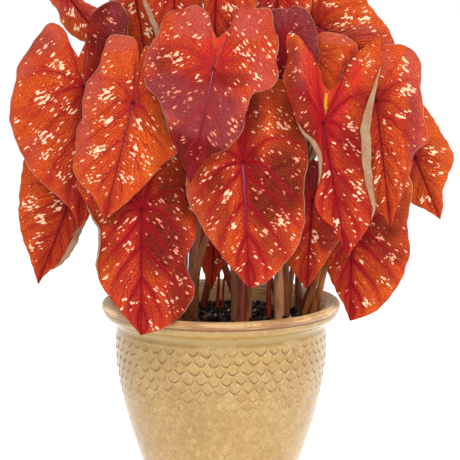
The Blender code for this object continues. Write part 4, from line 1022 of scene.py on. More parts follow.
def tube_triangles(rows, sides):
    """Triangles between rings of points, and a fan over each end to a last point of its own."""
    index = np.arange(rows * sides).reshape(rows, sides)
    low, high = index[0], index[-1]
    bottom = np.full(sides, rows * sides)
    lower = np.stack([bottom, np.roll(low, -1), low], axis=1)
    upper = np.stack([bottom + 1, high, np.roll(high, -1)], axis=1)
    after = np.roll(index, -1, axis=1)
    return np.concatenate([cell_triangles(index[:-1], after[:-1], after[1:], index[1:]), lower, upper])


def build_tube(name, path, radii, look, shade):
    """A closed stem along a path, which carries its height from 0 to 1 and its shade."""
    rings = rings_round(path, radii)
    points = np.concatenate([rings.reshape(-1, 3), path[:1], path[-1:]])
    height = np.concatenate([np.repeat(np.linspace(0, 1, len(path)), PETIOLE_SIDES), [0.0, 1.0]])
    values = {"height": height, "shade": np.full(len(points), shade)}
    return add_mesh(name, points, tube_triangles(len(path), PETIOLE_SIDES), look, values=values)


def rooted_end(x, y):
    """World points at the foot of a stem: its bottom in the hole, and just above the soil."""
    heights = (SOIL_HEIGHT - ROOT_DEPTH, SOIL_HEIGHT + COLLAR_HEIGHT)
    return [np.array([x, y, z]) * MM for z in heights]


def build_petiole(leaf, look):
    """A petiole on the smooth curve through its root, its drawn points and its seat behind the
    blade; it tapers upwards and flares a little where it leaves the soil."""
    bottom, collar = rooted_end(*leaf["root"])
    drawn = place(leaf["via"], leaf.get("turn", 0.0))
    path = np.vstack([bottom, smooth_line([collar, *drawn, joint_seat(leaf)], PETIOLE_POINTS)])
    share = np.clip(np.linspace(-PETIOLE_STRAIGHT, 1.0, len(path)), 0.0, 1.0)
    radii = 0.5 * leaf["stem"] * MM * (1.0 - (1.0 - PETIOLE_TOP_RATIO) * share)
    radii = radii * (1.0 + PETIOLE_FLARE * np.exp(-share / FLARE_LENGTH))
    name = leaf["name"].replace("leaf", "petiole")
    return build_tube(name + "_stalk", path, radii, look, leaf.get("tint", PLAIN_TINT))


def build_sprout(look):
    """The furled leaf: a thin stem that swells to its roll and ends in a point."""
    bottom, collar = rooted_end(*SPROUT_ROOT)
    path = np.vstack([bottom, smooth_line([collar, *place(SPROUT_VIA)], PETIOLE_POINTS)])
    share = np.linspace(0.0, 1.0, len(path))
    swell = np.exp(-((share - SPROUT_ROLL_AT) / SPROUT_ROLL_LENGTH) ** 2)
    point = np.clip((1.0 - share) / SPROUT_POINT_LENGTH, SPROUT_POINT_LEAST, 1.0)
    radii = 0.5 * MM * (SPROUT_DIAMETER + (SPROUT_ROLL_DIAMETER - SPROUT_DIAMETER) * swell) * point
    return build_tube("sprout_roll", path, radii, look, 0.0)


def outer_radius(height):
    """The pot's outer wall: an upright belly above, drawn in along a curve to the foot."""
    fall = np.clip((BELLY_HEIGHT - height) / BELLY_HEIGHT, 0.0, 1.0)
    return BELLY_RADIUS - (BELLY_RADIUS - FOOT_RADIUS) * fall**BELLY_CURVE


def inner_radius(height):
    """The pot's inner wall."""
    return outer_radius(height) - WALL


def section(radius_at, heights):
    """Points (radius, height) of a wall at some heights."""
    return [(radius_at(z), z) for z in heights]


def pot_profile():
    """Half section, floor to rim to foot: inner wall, a lip that slopes up to its outer bead, a
    groove, a second bead, a recessed neck, the belly and the foot.  Gives also the number of
    the belly's first point."""
    floor = [(0.0, FLOOR), (inner_radius(FLOOR) - FLOOR_FILLET, FLOOR)]
    inside = floor + section(inner_radius, (FLOOR + FLOOR_FILLET, *INNER_HEIGHTS))
    rim = smooth_line(RIM_LINE, RIM_ROWS)
    heights = np.concatenate([np.arange(SCALE_TOP - FIRST_ROW, FINE_LOW, -FINE_ROW),
                              np.arange(FINE_LOW, SCALE_FOOT, -COARSE_ROW), FOOT_HEIGHTS])
    foot = [(FOOT_RADIUS, 2.0), (FOOT_RADIUS - 0.6, 0.6), (FOOT_RADIUS - 2.0, 0.0), (0.0, 0.0)]
    return np.vstack([inside, rim, section(outer_radius, heights), foot]), len(inside) + len(rim)


def scale_edges(across, down):
    """For each point: rows up to the lower edge of the scale that it lies on, rows down from
    the edge of the scale above, and how near the middle of the scale it is, from 0 to 1.

    Row k's lower edge is k plus a round curve over the scale's width; an upper row lies over
    the row below it, and every second row is shifted by half a scale."""
    row = np.floor(down)

    def middle_of(number):
        offset = 2 * ((across + 0.5 * (number % 2)) % 1.0) - 1.0
        return 1.0 - 0.5 * offset**2 - 0.5 * offset**4

    upper_middle, lower_middle = middle_of(row), middle_of(row + 1)
    past = down - row - SCALE_DEPTH * upper_middle
    edge = np.where(past <= 0, -past, row + 1 + SCALE_DEPTH * lower_middle - down)
    return edge, past, np.where(past <= 0, upper_middle, lower_middle)


def scale_places(turn, level):
    """Where points of the belly lie among the scales, in scales round the pot and in rows down:
    even in angle and height, and swayed by low sines so that no two scales are alike."""
    sway = 0.10 * np.sin(5 * turn + 0.05 * level) + 0.07 * np.sin(13 * turn - 0.11 * level)
    across = SCALES_ROUND * turn / (2 * np.pi) + sway
    down = (SCALE_TOP - level) / SCALE_ROW + 0.10 * np.sin(9 * turn + 0.7) + 0.06 * np.sin(17 * turn)
    return across, down


def scale_relief(across, down):
    """Relief in mm: a scale stands out towards the middle of its lower edge, falling off as an
    exponential of the distance to it, and a groove, a bell curve, follows that edge."""
    edge, past, middle = scale_edges(across, down)
    step = SCALE_STEP * np.exp(-edge / SCALE_FALL) * (0.25 + 0.75 * middle)
    groove = SCALE_GROOVE * middle * np.exp(-((past - GROOVE_WIDTH) / GROOVE_WIDTH) ** 2)
    return step - groove - SCALE_SINK


def closed_round(grid, past_seam=0.0):
    """A grid with its first column added again at the end, raised by past_seam."""
    return np.concatenate([grid, grid[:, :1] + past_seam], axis=1)


def build_pot(look):
    """The pot: its profile turned round the upright axis, with the scales' relief added to the
    radius, weaker towards the foot."""
    profile, belly_start = pot_profile()
    radius, height = profile.T
    angle = np.linspace(0.0, 2 * np.pi, POT_COLUMNS + 1)[:-1]
    turn = np.broadcast_to(angle[None, :], (len(profile), POT_COLUMNS))
    level = np.broadcast_to(height[:, None], turn.shape)
    across, down = scale_places(turn, level)
    on_belly = ((np.arange(len(profile)) >= belly_start) & (height > SCALE_FOOT))[:, None]
    strength = np.where(on_belly, np.interp(level, RELIEF_HEIGHTS, RELIEF_STRENGTHS), 0.0)
    carved = radius[:, None] + strength * scale_relief(across, down)
    points = np.stack([carved * np.cos(turn), carved * np.sin(turn), level], axis=-1) * MM
    points = closed_round(points).reshape(-1, 3)
    first, new, kept = welded_sheet(points, grid_triangles(len(profile), POT_COLUMNS + 1)[:, ::-1])
    places = np.stack([closed_round(across, SCALES_ROUND), closed_round(down)], axis=-1)
    uv_maps = {"scales": places.reshape(-1, 2)[kept.reshape(-1)]}
    values = {"relief": closed_round(strength).reshape(-1)[first]}
    return add_mesh("pot_glazed", points[first], new[kept], look, uv_maps, values)


def soil_level(x, y):
    """Height of the soil's surface in mm: low mounds that die out at the pot's wall."""
    mounds = np.sin(0.11 * x + 1.0) * np.cos(0.13 * y + 0.4) + 0.5 * np.sin(0.23 * (x + y))
    edge = np.clip((inner_radius(SOIL_HEIGHT) - np.hypot(x, y)) / SOIL_EDGE, 0.0, 1.0)
    return SOIL_HEIGHT + SOIL_BUMP * mounds * edge


def build_soil_bed(look):
    """The body of the soil: the pot's inner shape, closed above by the mounds, whose grit is a
    product of two sines."""
    rim = inner_radius(SOIL_HEIGHT) - SEAT_GAP
    top = [(rim * ring / SOIL_RINGS, SOIL_HEIGHT) for ring in range(SOIL_RINGS)]
    heights = (SOIL_HEIGHT - 0.5, 160.0, 140.0, 95.0, 50.0, FLOOR + FLOOR_FILLET + SEAT_GAP)
    wall = section(lambda z: inner_radius(z) - SEAT_GAP, heights)
    bottom = FLOOR + SEAT_GAP
    floor = [(inner_radius(FLOOR) - SEAT_GAP - FLOOR_FILLET, bottom), (0.0, bottom)]
    profile = np.array(top + wall + floor)
    angle = np.linspace(0.0, 2 * np.pi, SOIL_COLUMNS + 1)
    x, y = profile[:, :1] * np.cos(angle), profile[:, :1] * np.sin(angle)
    grit = 0.5 * np.sin(1.9 * x + 0.6 * y) * np.sin(1.7 * y - 0.4 * x)
    on_top = (np.arange(len(profile)) < SOIL_RINGS)[:, None]
    z = np.where(on_top, soil_level(x, y) + grit - SOIL_SINK, profile[:, 1:])
    points = (np.stack([x, y, z], axis=-1) * MM).reshape(-1, 3)
    first, new, kept = welded_sheet(points, grid_triangles(len(profile), SOIL_COLUMNS + 1))
    return add_mesh("soil_bed", points[first], new[kept], look, values={"kind": np.zeros(len(first))})


def crumb_shape():
    """Corners and triangles of an icosahedron of radius one."""
    g = (1 + math.sqrt(5)) / 2
    corners = [(-1, g, 0), (1, g, 0), (-1, -g, 0), (1, -g, 0), (0, -1, g), (0, 1, g),
               (0, -1, -g), (0, 1, -g), (g, 0, -1), (g, 0, 1), (-g, 0, -1), (-g, 0, 1)]
    faces = [(0, 11, 5), (0, 5, 1), (0, 1, 7), (0, 7, 10), (0, 10, 11), (1, 5, 9), (5, 11, 4),
             (11, 10, 2), (10, 7, 6), (7, 1, 8), (3, 9, 4), (3, 4, 2), (3, 2, 6), (3, 6, 8),
             (3, 8, 9), (4, 9, 5), (2, 4, 11), (6, 2, 10), (8, 6, 7), (9, 8, 1)]
    return np.array(corners) / math.sqrt(1 + g * g), np.array(faces)


def build_crumbs(look):
    """Crumbs of soil and a few pale grains: icosahedra with random corners, sizes, turns and
    places, spread evenly over the soil's disc."""
    rng = np.random.default_rng(CRUMB_SEED)
    corners, faces = crumb_shape()
    size = rng.uniform(*CRUMB_SIZES, CRUMBS) * np.where(rng.random(CRUMBS) < BIG_SHARE, BIG_CRUMB, 1.0)
    spread = (inner_radius(SOIL_HEIGHT) - 1.5 * size) * np.sqrt(rng.random(CRUMBS))
    bearing = 2 * np.pi * rng.random(CRUMBS)
    x, y = spread * np.cos(bearing), spread * np.sin(bearing)
    z = soil_level(x, y) + rng.uniform(*CRUMB_LIFTS, CRUMBS) * size
    shape = corners[None] * (1 + rng.uniform(-CRUMB_DENT, CRUMB_DENT, (CRUMBS, len(corners), 1)))
    shape = shape * (size[:, None] * rng.uniform(*CRUMB_STRETCHES, (CRUMBS, 3)))[:, None, :]
    yaw, roll = 2 * np.pi * rng.random((2, CRUMBS, 1))
    along, across = turned(shape[..., 0], shape[..., 1], yaw)
    tumbled = np.stack([along, *turned(across, shape[..., 2], roll)], axis=-1)
    points = (tumbled + np.stack([x, y, z], axis=-1)[:, None, :]) * MM
    triangles = faces[None] + len(corners) * np.arange(CRUMBS)[:, None, None]
    values = {"kind": np.repeat(rng.random(CRUMBS), len(corners))}
    made = add_mesh("soil_crumbs", points.reshape(-1, 3), triangles.reshape(-1, 3), look, values=values)
    made.data.shade_flat()
    return made


class Field:
    """A number, colour or vector that varies over a surface: arithmetic on it adds Math nodes."""

    def __init__(self, tree, socket):
        self.tree = tree
        self.socket = socket

    def math(self, operation, *others):
        node = self.tree.nodes.new("ShaderNodeMath")
        node.operation = operation
        for socket, value in zip(node.inputs, (self, *others)):
            plug(self.tree, socket, value)
        return Field(self.tree, node.outputs[0])

    def __add__(self, other):
        return self.math("ADD", other)

    def __sub__(self, other):
        return self.math("SUBTRACT", other)

    def __mul__(self, other):
        return self.math("MULTIPLY", other)

    def __truediv__(self, other):
        return self.math("DIVIDE", other)

    def __rsub__(self, other):
        return (self * -1.0) + other

    __radd__ = __add__
    __rmul__ = __mul__

    def at_most(self, other):
        return self.math("MINIMUM", other)

    def at_least(self, other):
        return self.math("MAXIMUM", other)

    def rises(self, low, high):
        """0 below low, 1 above high and smooth between; with low above high it falls."""
        node = self.tree.nodes.new("ShaderNodeMapRange")
        node.interpolation_type = "SMOOTHSTEP"
        for name, value in (("Value", self), ("From Min", low), ("From Max", high)):
            plug(self.tree, node.inputs[name], value)
        return Field(self.tree, node.outputs["Result"])


def plug(tree, socket, value):
    """Links a field to a socket, or sets the socket to a plain value."""
    if isinstance(value, Field):
        tree.links.new(value.socket, socket)
    else:
        socket.default_value = value


def attribute(tree, name):
    node = tree.nodes.new("ShaderNodeAttribute")
    node.attribute_name = name
    return Field(tree, node.outputs["Fac"])


def uv_map(tree, name):
    node = tree.nodes.new("ShaderNodeUVMap")
    node.uv_map = name
    return Field(tree, node.outputs["UV"])


def object_place(tree):
    """Object coordinates, in metres."""
    return Field(tree, tree.nodes.new("ShaderNodeTexCoord").outputs["Object"])


def numbers_of(vector):
    """The three numbers of a vector."""
    tree = vector.tree
    node = tree.nodes.new("ShaderNodeSeparateXYZ")
    plug(tree, node.inputs["Vector"], vector)
    return [Field(tree, node.outputs[axis]) for axis in "XYZ"]


def joined(*numbers):
    """A vector made of three numbers."""
    tree = numbers[0].tree
    node = tree.nodes.new("ShaderNodeCombineXYZ")
    for socket, value in zip(node.inputs, numbers):
        plug(tree, socket, value)
    return Field(tree, node.outputs["Vector"])


def vector_math(operation, *values):
    tree = values[0].tree
    node = tree.nodes.new("ShaderNodeVectorMath")
    node.operation = operation
    for socket, value in zip(node.inputs, values):
        plug(tree, socket, value)
    return Field(tree, node.outputs["Vector"])


def stretched(vector, *factors):
    """A vector with each of its numbers multiplied, which squeezes a pattern along that axis."""
    return vector_math("MULTIPLY", vector, factors)


def noise(vector, scale, detail=2.0, roughness=0.5, flat=False, output="Fac"):
    """A soft random pattern; a flat one reads only a vector's first two numbers."""
    tree = vector.tree
    node = tree.nodes.new("ShaderNodeTexNoise")
    node.noise_dimensions = "2D" if flat else "3D"
    values = {"Vector": vector, "Scale": scale, "Detail": detail, "Roughness": roughness}
    for name, value in values.items():
        plug(tree, node.inputs[name], value)
    return Field(tree, node.outputs[output])


def warped(vector, scale, amount):
    """A vector pushed about by a soft noise, so that a regular pattern turns ragged."""
    push = noise(vector, scale, flat=True, output="Color")
    return vector_math("MULTIPLY_ADD", push, (amount, amount, 0.0), vector)


def cells(vector, scale, feature="F1", flat=False):
    """A random pattern of cells: the distance to a cell's middle, or to its border."""
    tree = vector.tree
    node = tree.nodes.new("ShaderNodeTexVoronoi")
    node.voronoi_dimensions = "2D" if flat else "3D"
    node.feature = feature
    plug(tree, node.inputs["Vector"], vector)
    plug(tree, node.inputs["Scale"], scale)
    return Field(tree, node.outputs["Distance"])


def spots(vector, scale, density, largest):
    """Round spots, one at most in each cell of a random pattern: a cell has one if its random
    number lies in the upper share given by density, and the number also sets its size.  The
    value is 1 well inside a spot and fades to 0 over a rim round it."""
    distance = cells(vector, scale, flat=True)
    chance, _, _ = numbers_of(Field(vector.tree, distance.socket.node.outputs["Color"]))
    radius = ((chance - 1.0 + density) * largest * 2.2 + 0.10).at_most(largest)
    present = chance.rises(1.0 - density, 1.02 - density)
    return (radius - distance).rises(-0.25, 0.10) * present


def blend(share, first, second):
    """A colour that goes from first to second with share; a plain one is (red, green, blue)."""
    tree = next(value.tree for value in (share, first) if isinstance(value, Field))
    node = tree.nodes.new("ShaderNodeMix")
    node.data_type = "RGBA"
    plug(tree, node.inputs["Factor"], share)
    for socket, colour in zip((node.inputs[6], node.inputs[7]), (first, second)):
        plug(tree, socket, colour if isinstance(colour, Field) else (*colour, 1.0))
    return Field(tree, node.outputs[2])


def painted(colour, *coats):
    """A colour with others laid over it in turn; each coat is its share and its colour."""
    for share, over in coats:
        colour = blend(share, colour, over)
    return colour


def new_material(name, **even):
    """An empty Principled material, with the values that are even all over set on its sockets."""
    made = bpy.data.materials.new(name)
    made.use_nodes = True
    shader = made.node_tree.nodes["Principled BSDF"]
    for socket, value in even.items():
        shader.inputs[SOCKETS[socket]].default_value = value
    return made, made.node_tree, shader


def finish_material(shader, bump_height, bump_depth, **varying):
    """Feeds the fields that vary to the shader: a bump, whose height of 1 is bump_depth metres,
    and the sockets named."""
    tree = bump_height.tree
    node = tree.nodes.new("ShaderNodeBump")
    node.inputs["Distance"].default_value = bump_depth
    plug(tree, node.inputs["Height"], bump_height)
    tree.links.new(node.outputs["Normal"], shader.inputs["Normal"])
    for socket, value in varying.items():
        plug(tree, shader.inputs[SOCKETS[socket]], value)


def vein_fields(tree, read):
    """Masks of the veins: thin cores, wide soft halos, and the fine feathering between.  The
    distances to side veins, midrib and joint are in millimetres."""
    spacing, reach = read["spacing"], read["reach"]
    flat = uv_map(tree, "flat")
    across, along, _ = numbers_of(flat)
    number, position, _ = numbers_of(uv_map(tree, "veins"))
    wander = noise(flat, 9.0, flat=True) - 0.5
    number = number + wander * 0.16
    thin = 1.1 - position
    from_side = number.math("PINGPONG", 0.5) * spacing
    side_core = from_side.rises(0.70 * thin, 0.08 * thin) * position.rises(0.90, 0.40)
    side_halo = from_side.rises(6.0 - 3.0 * position, 0.3) * (1.15 - 0.80 * position)
    from_minor = (number + 0.5).math("PINGPONG", 0.5) * spacing
    minor = from_minor.rises(1.8, 0.1) * position.rises(1.0, 0.3) * spacing.rises(5.0, 14.0)
    above = (along * UV_UNIT).at_most(0.0)
    sway = across * UV_UNIT + wander * 1.6
    from_mid = (sway * sway + above * above).math("SQRT")
    width = 0.66 - 0.45 * reach
    feather = (number * 6.0 + wander * 2.0).math("PINGPONG", 0.5) * spacing / 6.0
    hub = (across * across + along * along).math("SQRT") * UV_UNIT
    return {
        "position": position, "side_core": side_core, "minor": minor,
        "mid_core": from_mid.rises(width + 0.2, width * 0.4),
        "mid_edge": from_mid.rises(width + 0.9, width + 0.1),
        "halo": side_halo.at_least(from_mid.rises(7.5, 0.6) * (1.0 - 0.5 * reach)),
        "near": from_side.rises(11.0, 1.0),
        "feather": feather.rises(0.75, 0.15) * position.rises(1.0, 0.25) * spacing.rises(2.0, 8.0),
        "net": cells(flat, 62.0, "DISTANCE_TO_EDGE", flat=True).rises(0.10, 0.0),
        "hub": hub.rises(13.0, 1.5), "dark_hub": hub.rises(3.4, 1.0),
    }


def speck_field(read, grain, veins):
    """Cream flecks between the veins, drawn out along them: ragged blots where the leaf has its
    blots, long flecks in loose crowds all over, and a few small dots."""
    flecks, blots = read["flecks"], read["blots"]
    ragged = warped(grain, 34.0, 0.022)
    crowd = noise(grain, 6.5, 1.0, flat=True)
    density = (flecks * 0.66 + (crowd - 0.5) * 1.7 + blots * 0.34 - 0.07) * (1.0 - 0.85 * veins["halo"])
    medium = spots(stretched(ragged, 1.0, 3.0, 1.0), 11.5, density * 0.58, 0.34)
    small = spots(stretched(ragged, 1.0, 1.8, 1.0), 20.0, density * 0.24, 0.27)
    splash = noise(stretched(ragged, 1.0, 2.4, 1.0), 15.0, 1.0, flat=True)
    big = (splash + blots * 0.22).rises(0.70, 0.785) * blots.rises(0.15, 0.4)
    position, mid_edge = veins["position"], veins["mid_edge"]
    every = medium.at_least(small).at_least(big) * (1.0 - read["glow"].rises(0.2, 0.5))
    return every * position.rises(0.975, 0.94) * position.rises(0.04, 0.12) * (1.0 - 0.8 * mid_edge)


def broken(patch, mottle, fine):
    """A soft patch whose rim is broken up by two noises."""
    rough = patch + ((mottle - 0.5) * 1.1 + (fine - 0.5) * 0.7) * patch.rises(0.0, 0.4)
    return rough.at_least(0.0).at_most(1.0)


def blade_noises(grain):
    """Noises over a blade, from soft clouds to the fine tooth of its skin."""
    hatching = stretched(grain, 0.30, 1.5, 1.0)
    return {
        "mottle": noise(grain, 4.2, 3.0, 0.6, flat=True),
        "patchy": noise(grain, 12.0, 3.0, 0.6, flat=True),
        "fine": noise(grain, 30.0, 4.0, 0.65, flat=True),
        "tooth": noise(grain, 85.0, 2.0, 0.6, flat=True),
        "hatch": noise(hatching, 60.0, 2.0, 0.6, flat=True),
    }


def ground_colour(read, rough, patches, veins):
    """Brick red to orange between the veins, with the leaf's bright and plain red patches, pale
    rose painted sheen, and maroon painted shade, olive on some leaves and blotched near-black,
    with mauve painted sheen over it."""
    mottle, patchy, fine, tooth, hatch = rough.values()
    dusk, bloom, blaze, glow = patches.values()
    warm = (mottle - 0.5) * 1.5 + (patchy - 0.5) * 1.2 + (fine - 0.5) * 1.0 + read["tone"] + 0.16
    warm = warm - veins["near"] * read["halo"] * 0.45
    # The colour of painted shade: maroon, olive on some leaves, blotched near-black.
    shadow = blend(read["olive"] * (mottle * 2.4 - 0.7).at_least(0.0).at_most(1.0), MAROON, OLIVE)
    shadow = blend(patchy.rises(0.45, 0.60) * 0.75, shadow, SHADE_BLACK)
    return painted(
        BRICK,
        (warm.rises(0.0, 1.0), ORANGE),
        (blaze, BLAZE),
        (tooth.rises(0.50, 0.28) * 0.50, AMBER),
        (tooth.rises(0.50, 0.68) * (blaze * 0.6 + 0.10), UMBER),
        (glow * 0.9, RED),
        # From here: rose painted sheen, then painted shade with its grain, and mauve painted sheen on it.
        ((bloom * (0.45 + hatch)).at_most(0.9), ROSE),
        (dusk * 0.95, shadow),
        (dusk * tooth.rises(0.47, 0.60) * 0.60, SHADE_BLACK),
        (dusk * (1.0 - bloom) * tooth.rises(0.47, 0.36) * 0.40, BRICK),
        ((bloom * dusk * (0.55 + hatch)).at_most(0.95), MAUVE),
        (bloom * dusk * hatch.rises(0.58, 0.72) * 0.6, PALE_MAUVE),
        (bloom * dusk * hatch.rises(0.45, 0.30) * 0.7, MAROON),
        (hatch.rises(0.48, 0.78) * (0.45 - 0.35 * dusk), CRIMSON))


def veined(read, colour, rough, veins, plain):
    """Adds the veins: crimson beside them, a fine dark net between, thin dark cores, and a
    midrib that is lilac near the joint on some leaves and lighter red towards the tip.  The
    finest veins show where the leaf is plain, not under painted shade."""
    fine, tooth = rough["fine"], rough["tooth"]
    pale, halo, reach = read["pale"], read["halo"], read["reach"]
    crimson = (veins["halo"] * halo * (0.70 + 0.8 * (fine - 0.25))).at_most(1.0)
    rib = painted(
        MIDRIB,
        (reach.rises(0.35, 0.80), LIGHT_RIB),
        (pale * (1.15 - reach * 1.9).at_least(0.0), LILAC))
    return painted(
        colour,
        (crimson, CRIMSON),
        (veins["minor"] * 0.50 * halo, CRIMSON),
        (veins["feather"] * plain * 0.75, CRIMSON),
        (veins["net"] * 0.35, DARK_CORE),
        (tooth.rises(0.50, 0.70) * 0.55, DARK_CORE),
        (fine.rises(0.52, 0.66) * plain * 0.35, CRIMSON),
        (veins["hub"] * 0.60, CRIMSON),
        (veins["side_core"] * read["core"] * 0.7, DARK_CORE),
        (veins["side_core"] * pale * (1.0 - read["olive"]) * 0.6, VEIN_PINK),
        (veins["mid_edge"] * 0.55, DARK_CORE),
        (veins["mid_core"] * 0.9, rib),
        (veins["dark_hub"] * 0.8, DARK_CORE))


def flecked(colour, specks, patches):
    """Adds the flecks, cream on plain parts and pink under painted shade or sheen, in a warm
    fringe that is darker under painted shade.
    """
    dusk = patches["dusk"]
    fleck = blend((dusk * 0.9 + patches["bloom"] * 0.30).at_most(1.0), CREAM, PINK)
    return painted(
        colour,
        (specks.rises(0.15, 0.55) * 0.75, blend(dusk, FRINGE, DARK_FRINGE)),
        (specks.rises(0.60, 0.88), fleck))


def under_colour(rough, specks, veins):
    """The under side: pale khaki, blushed in clouds, finely netted, its flecks showing faintly
    through and its raised veins reddish."""
    return painted(
        KHAKI,
        (rough["mottle"].rises(0.38, 0.68) * 0.55, BLUSH),
        (rough["fine"].rises(0.45, 0.70) * 0.30, UNDER_FLECK),
        (specks * 0.5, UNDER_FLECK),
        (veins["halo"] * 0.40, UNDER_VEIN),
        (veins["feather"] * 0.35 + veins["net"] * 0.30, UNDER_VEIN),
        (veins["side_core"].at_least(veins["mid_edge"]) * 0.8, UNDER_VEIN))


def leaf_material(name):
    """A caladium blade: orange-red with crimson veins in soft halos, maroon patches of painted
    shade and rose ones of painted sheen, cream flecks and a tan edge line; the under side is
    khaki with raised reddish veins."""
    made, tree, shader = new_material(name, specular=0.07)
    read = {label: attribute(tree, label) for label in (*BLADE_GRIDS, *PATCHES, *LEVELS, "under")}
    veins = vein_fields(tree, read)
    grain = uv_map(tree, "grain")
    rough = blade_noises(grain)
    mottle, fine = rough["mottle"], rough["fine"]
    patches = {label: broken(read[label], mottle, fine) for label in PATCHES[:4]}
    specks = speck_field(read, grain, veins)
    gold, under = read["gold"], read["under"]
    colour = ground_colour(read, rough, patches, veins)
    colour = veined(read, colour, rough, veins, 1.0 - patches["dusk"] * 0.75)
    colour = blend((gold + (fine - 0.5)).rises(0.45, 0.60) * gold.rises(0.0, 0.2), colour, GOLD)
    colour = painted(
        flecked(colour, specks, patches),
        (veins["position"].rises(0.981, 0.992) * mottle.rises(0.30, 0.55) * 0.75, EDGE_TAN),
        (under.rises(0.80, 0.95), under_colour(rough, specks, veins)))
    height = (fine * 0.5 + rough["hatch"] * 0.3 + rough["tooth"] * 0.2 - veins["side_core"] * 0.5
              - veins["mid_core"] * 0.8 - veins["feather"] * 0.3 - veins["net"] * 0.2)
    finish_material(
        shader, height * (1.0 - 2.0 * under), 0.0010, colour=colour,
        roughness=0.42 + (fine - 0.5) * 0.3 + specks * 0.08 + under * 0.2)
    return made


def petiole_material():
    """Petiole skin: bright red, maroon, olive brown, orange brown or pinkish tan from stalk to
    stalk, with long streaks and dark speckles."""
    made, tree, shader = new_material("petiole", roughness=0.45, specular=0.18)
    solid = object_place(tree)
    shade, height = attribute(tree, "shade"), attribute(tree, "height")
    streaks = noise(stretched(solid, 1.0, 1.0, 0.05), 800.0, 3.0, 0.6)
    mottle = noise(stretched(solid, 1.0, 1.0, 0.25), 170.0, 3.0, 0.6)
    width = 1.0 / (len(STALK_TINTS) - 1)
    steps = [shade.rises(width * k, width * (k + 1)) for k in range(len(STALK_TINTS) - 1)]
    colour = painted(STALK_TINTS[0], *zip(steps, STALK_TINTS[1:]))
    colour = blend(streaks.rises(0.48, 0.66) * 0.5, colour, blend(0.40, colour, STALK_LIGHT))
    colour = blend(mottle.rises(0.46, 0.66) * 0.55, colour, blend(0.80, colour, STALK_DARK))
    colour = blend(height.rises(0.70, 1.0) * 0.7, colour, STALK_TOP)
    finish_material(shader, streaks + mottle * 0.4, 0.0005, colour=colour)
    return made


def scale_marks(tree, stray, other):
    """Masks along each scale's lower edge, as in scale_edges: a shaded line on the edge, a lit
    line just below it, and a notch that drops at the edge and slopes back out below it, all
    gone at the scale's corners; stray and other bend them."""
    across, down, _ = numbers_of(uv_map(tree, "scales"))
    down = down + (stray - 0.5) * 0.40
    across = across + (other - 0.5) * 0.2
    row = down.math("FLOOR")
    offset = (across + (row * 0.5).math("FRACT")).math("FRACT") * 2.0 - 1.0
    square = offset * offset
    middle = 1.0 - square * 0.5 - square * square * 0.5
    past = down - row - middle * SCALE_DEPTH
    ends = middle.rises(0.46, 0.66)
    shaded = past.rises(-0.24, -0.08) * past.rises(0.12, 0.02) * ends
    lit = past.rises(0.04, 0.12) * past.rises(0.32, 0.18) * ends
    notch = past.rises(-0.10, 0.0) * past.rises(0.16, 0.0) * ends
    return shaded, lit, notch


def body_glaze(rough, height, shaded, lit):
    """The glaze of the belly: clouded tan, paler runs that are partly painted sheen and browner
    ones, more of them low down, brown clouds and grain, and the scales' edges: a painted
    highlight below each, and brown pooling with painted shade on it, both broken up by a noise."""
    low = height.rises(165.0, 110.0)
    mottle, fine, runs, mark_breakup = (rough[label] for label in ("mottle", "fine", "runs", "mark_breakup"))
    return painted(
        GLAZE["tan"],
        (rough["cloud"].rises(0.35, 0.65), GLAZE["light tan"]),
        (mottle.rises(0.48, 0.70) * 0.40, GLAZE["pale mottle"]),
        (runs.rises(0.50, 0.64) * (low * 0.20 + 0.15), GLAZE["pale run and sheen"]),
        (runs.rises(0.48, 0.34) * (low * 0.12 + 0.12), GLAZE["brown run"]),
        (mottle.rises(0.48, 0.30) * 0.45, GLAZE["brown mottle"]),
        (fine.rises(0.54, 0.70) * 0.55, GLAZE["brown grain"]),
        ((lit * mark_breakup).at_most(1.0) * 0.70, GLAZE["lit edge"]),
        ((shaded * mark_breakup).at_most(1.0) * 0.90, GLAZE["shaded edge"]))


def rim_glaze(colour, fine, streaks, front, height, from_axis):
    """The burnt glaze of the rim: painted darker in front and lighter behind and at the sides, as
    shade and light, speckled and streaked, dark under its bead, in its groove and on its inner
    edge, and dull in the neck below it.  The height is in millimetres, the distance from the
    axis in metres.  Gives the rim's mask too."""
    rim = height.rises(194.4, 195.6)
    bead = height.rises(199.8, 198.6) * rim * streaks.rises(0.30, 0.50)
    groove = height.rises(194.2, 195.0) * height.rises(197.2, 196.2) * from_axis.rises(0.110, 0.112)
    edge = from_axis.rises(0.1128, 0.1118) * height.rises(200.6, 201.2) * streaks.rises(0.30, 0.48)
    return rim, painted(
        colour,
        (rim, blend(front, GLAZE["rim with painted light"], GLAZE["rim with painted shade"])),
        (rim * fine.rises(0.52, 0.66) * 0.35, GLAZE["rim speck"]),
        (rim * streaks.rises(0.50, 0.58) * (front * 0.35 + 0.40), GLAZE["rim streak"]),
        (bead * 0.65, GLAZE["under bead"]),
        (groove * streaks.rises(0.22, 0.42) * 0.95, GLAZE["groove"]),
        (edge * (front * 0.4 + 0.2), GLAZE["inner edge"]),
        (height.rises(176.0, 178.5) * height.rises(189.0, 187.0) * 0.6, GLAZE["neck"]))


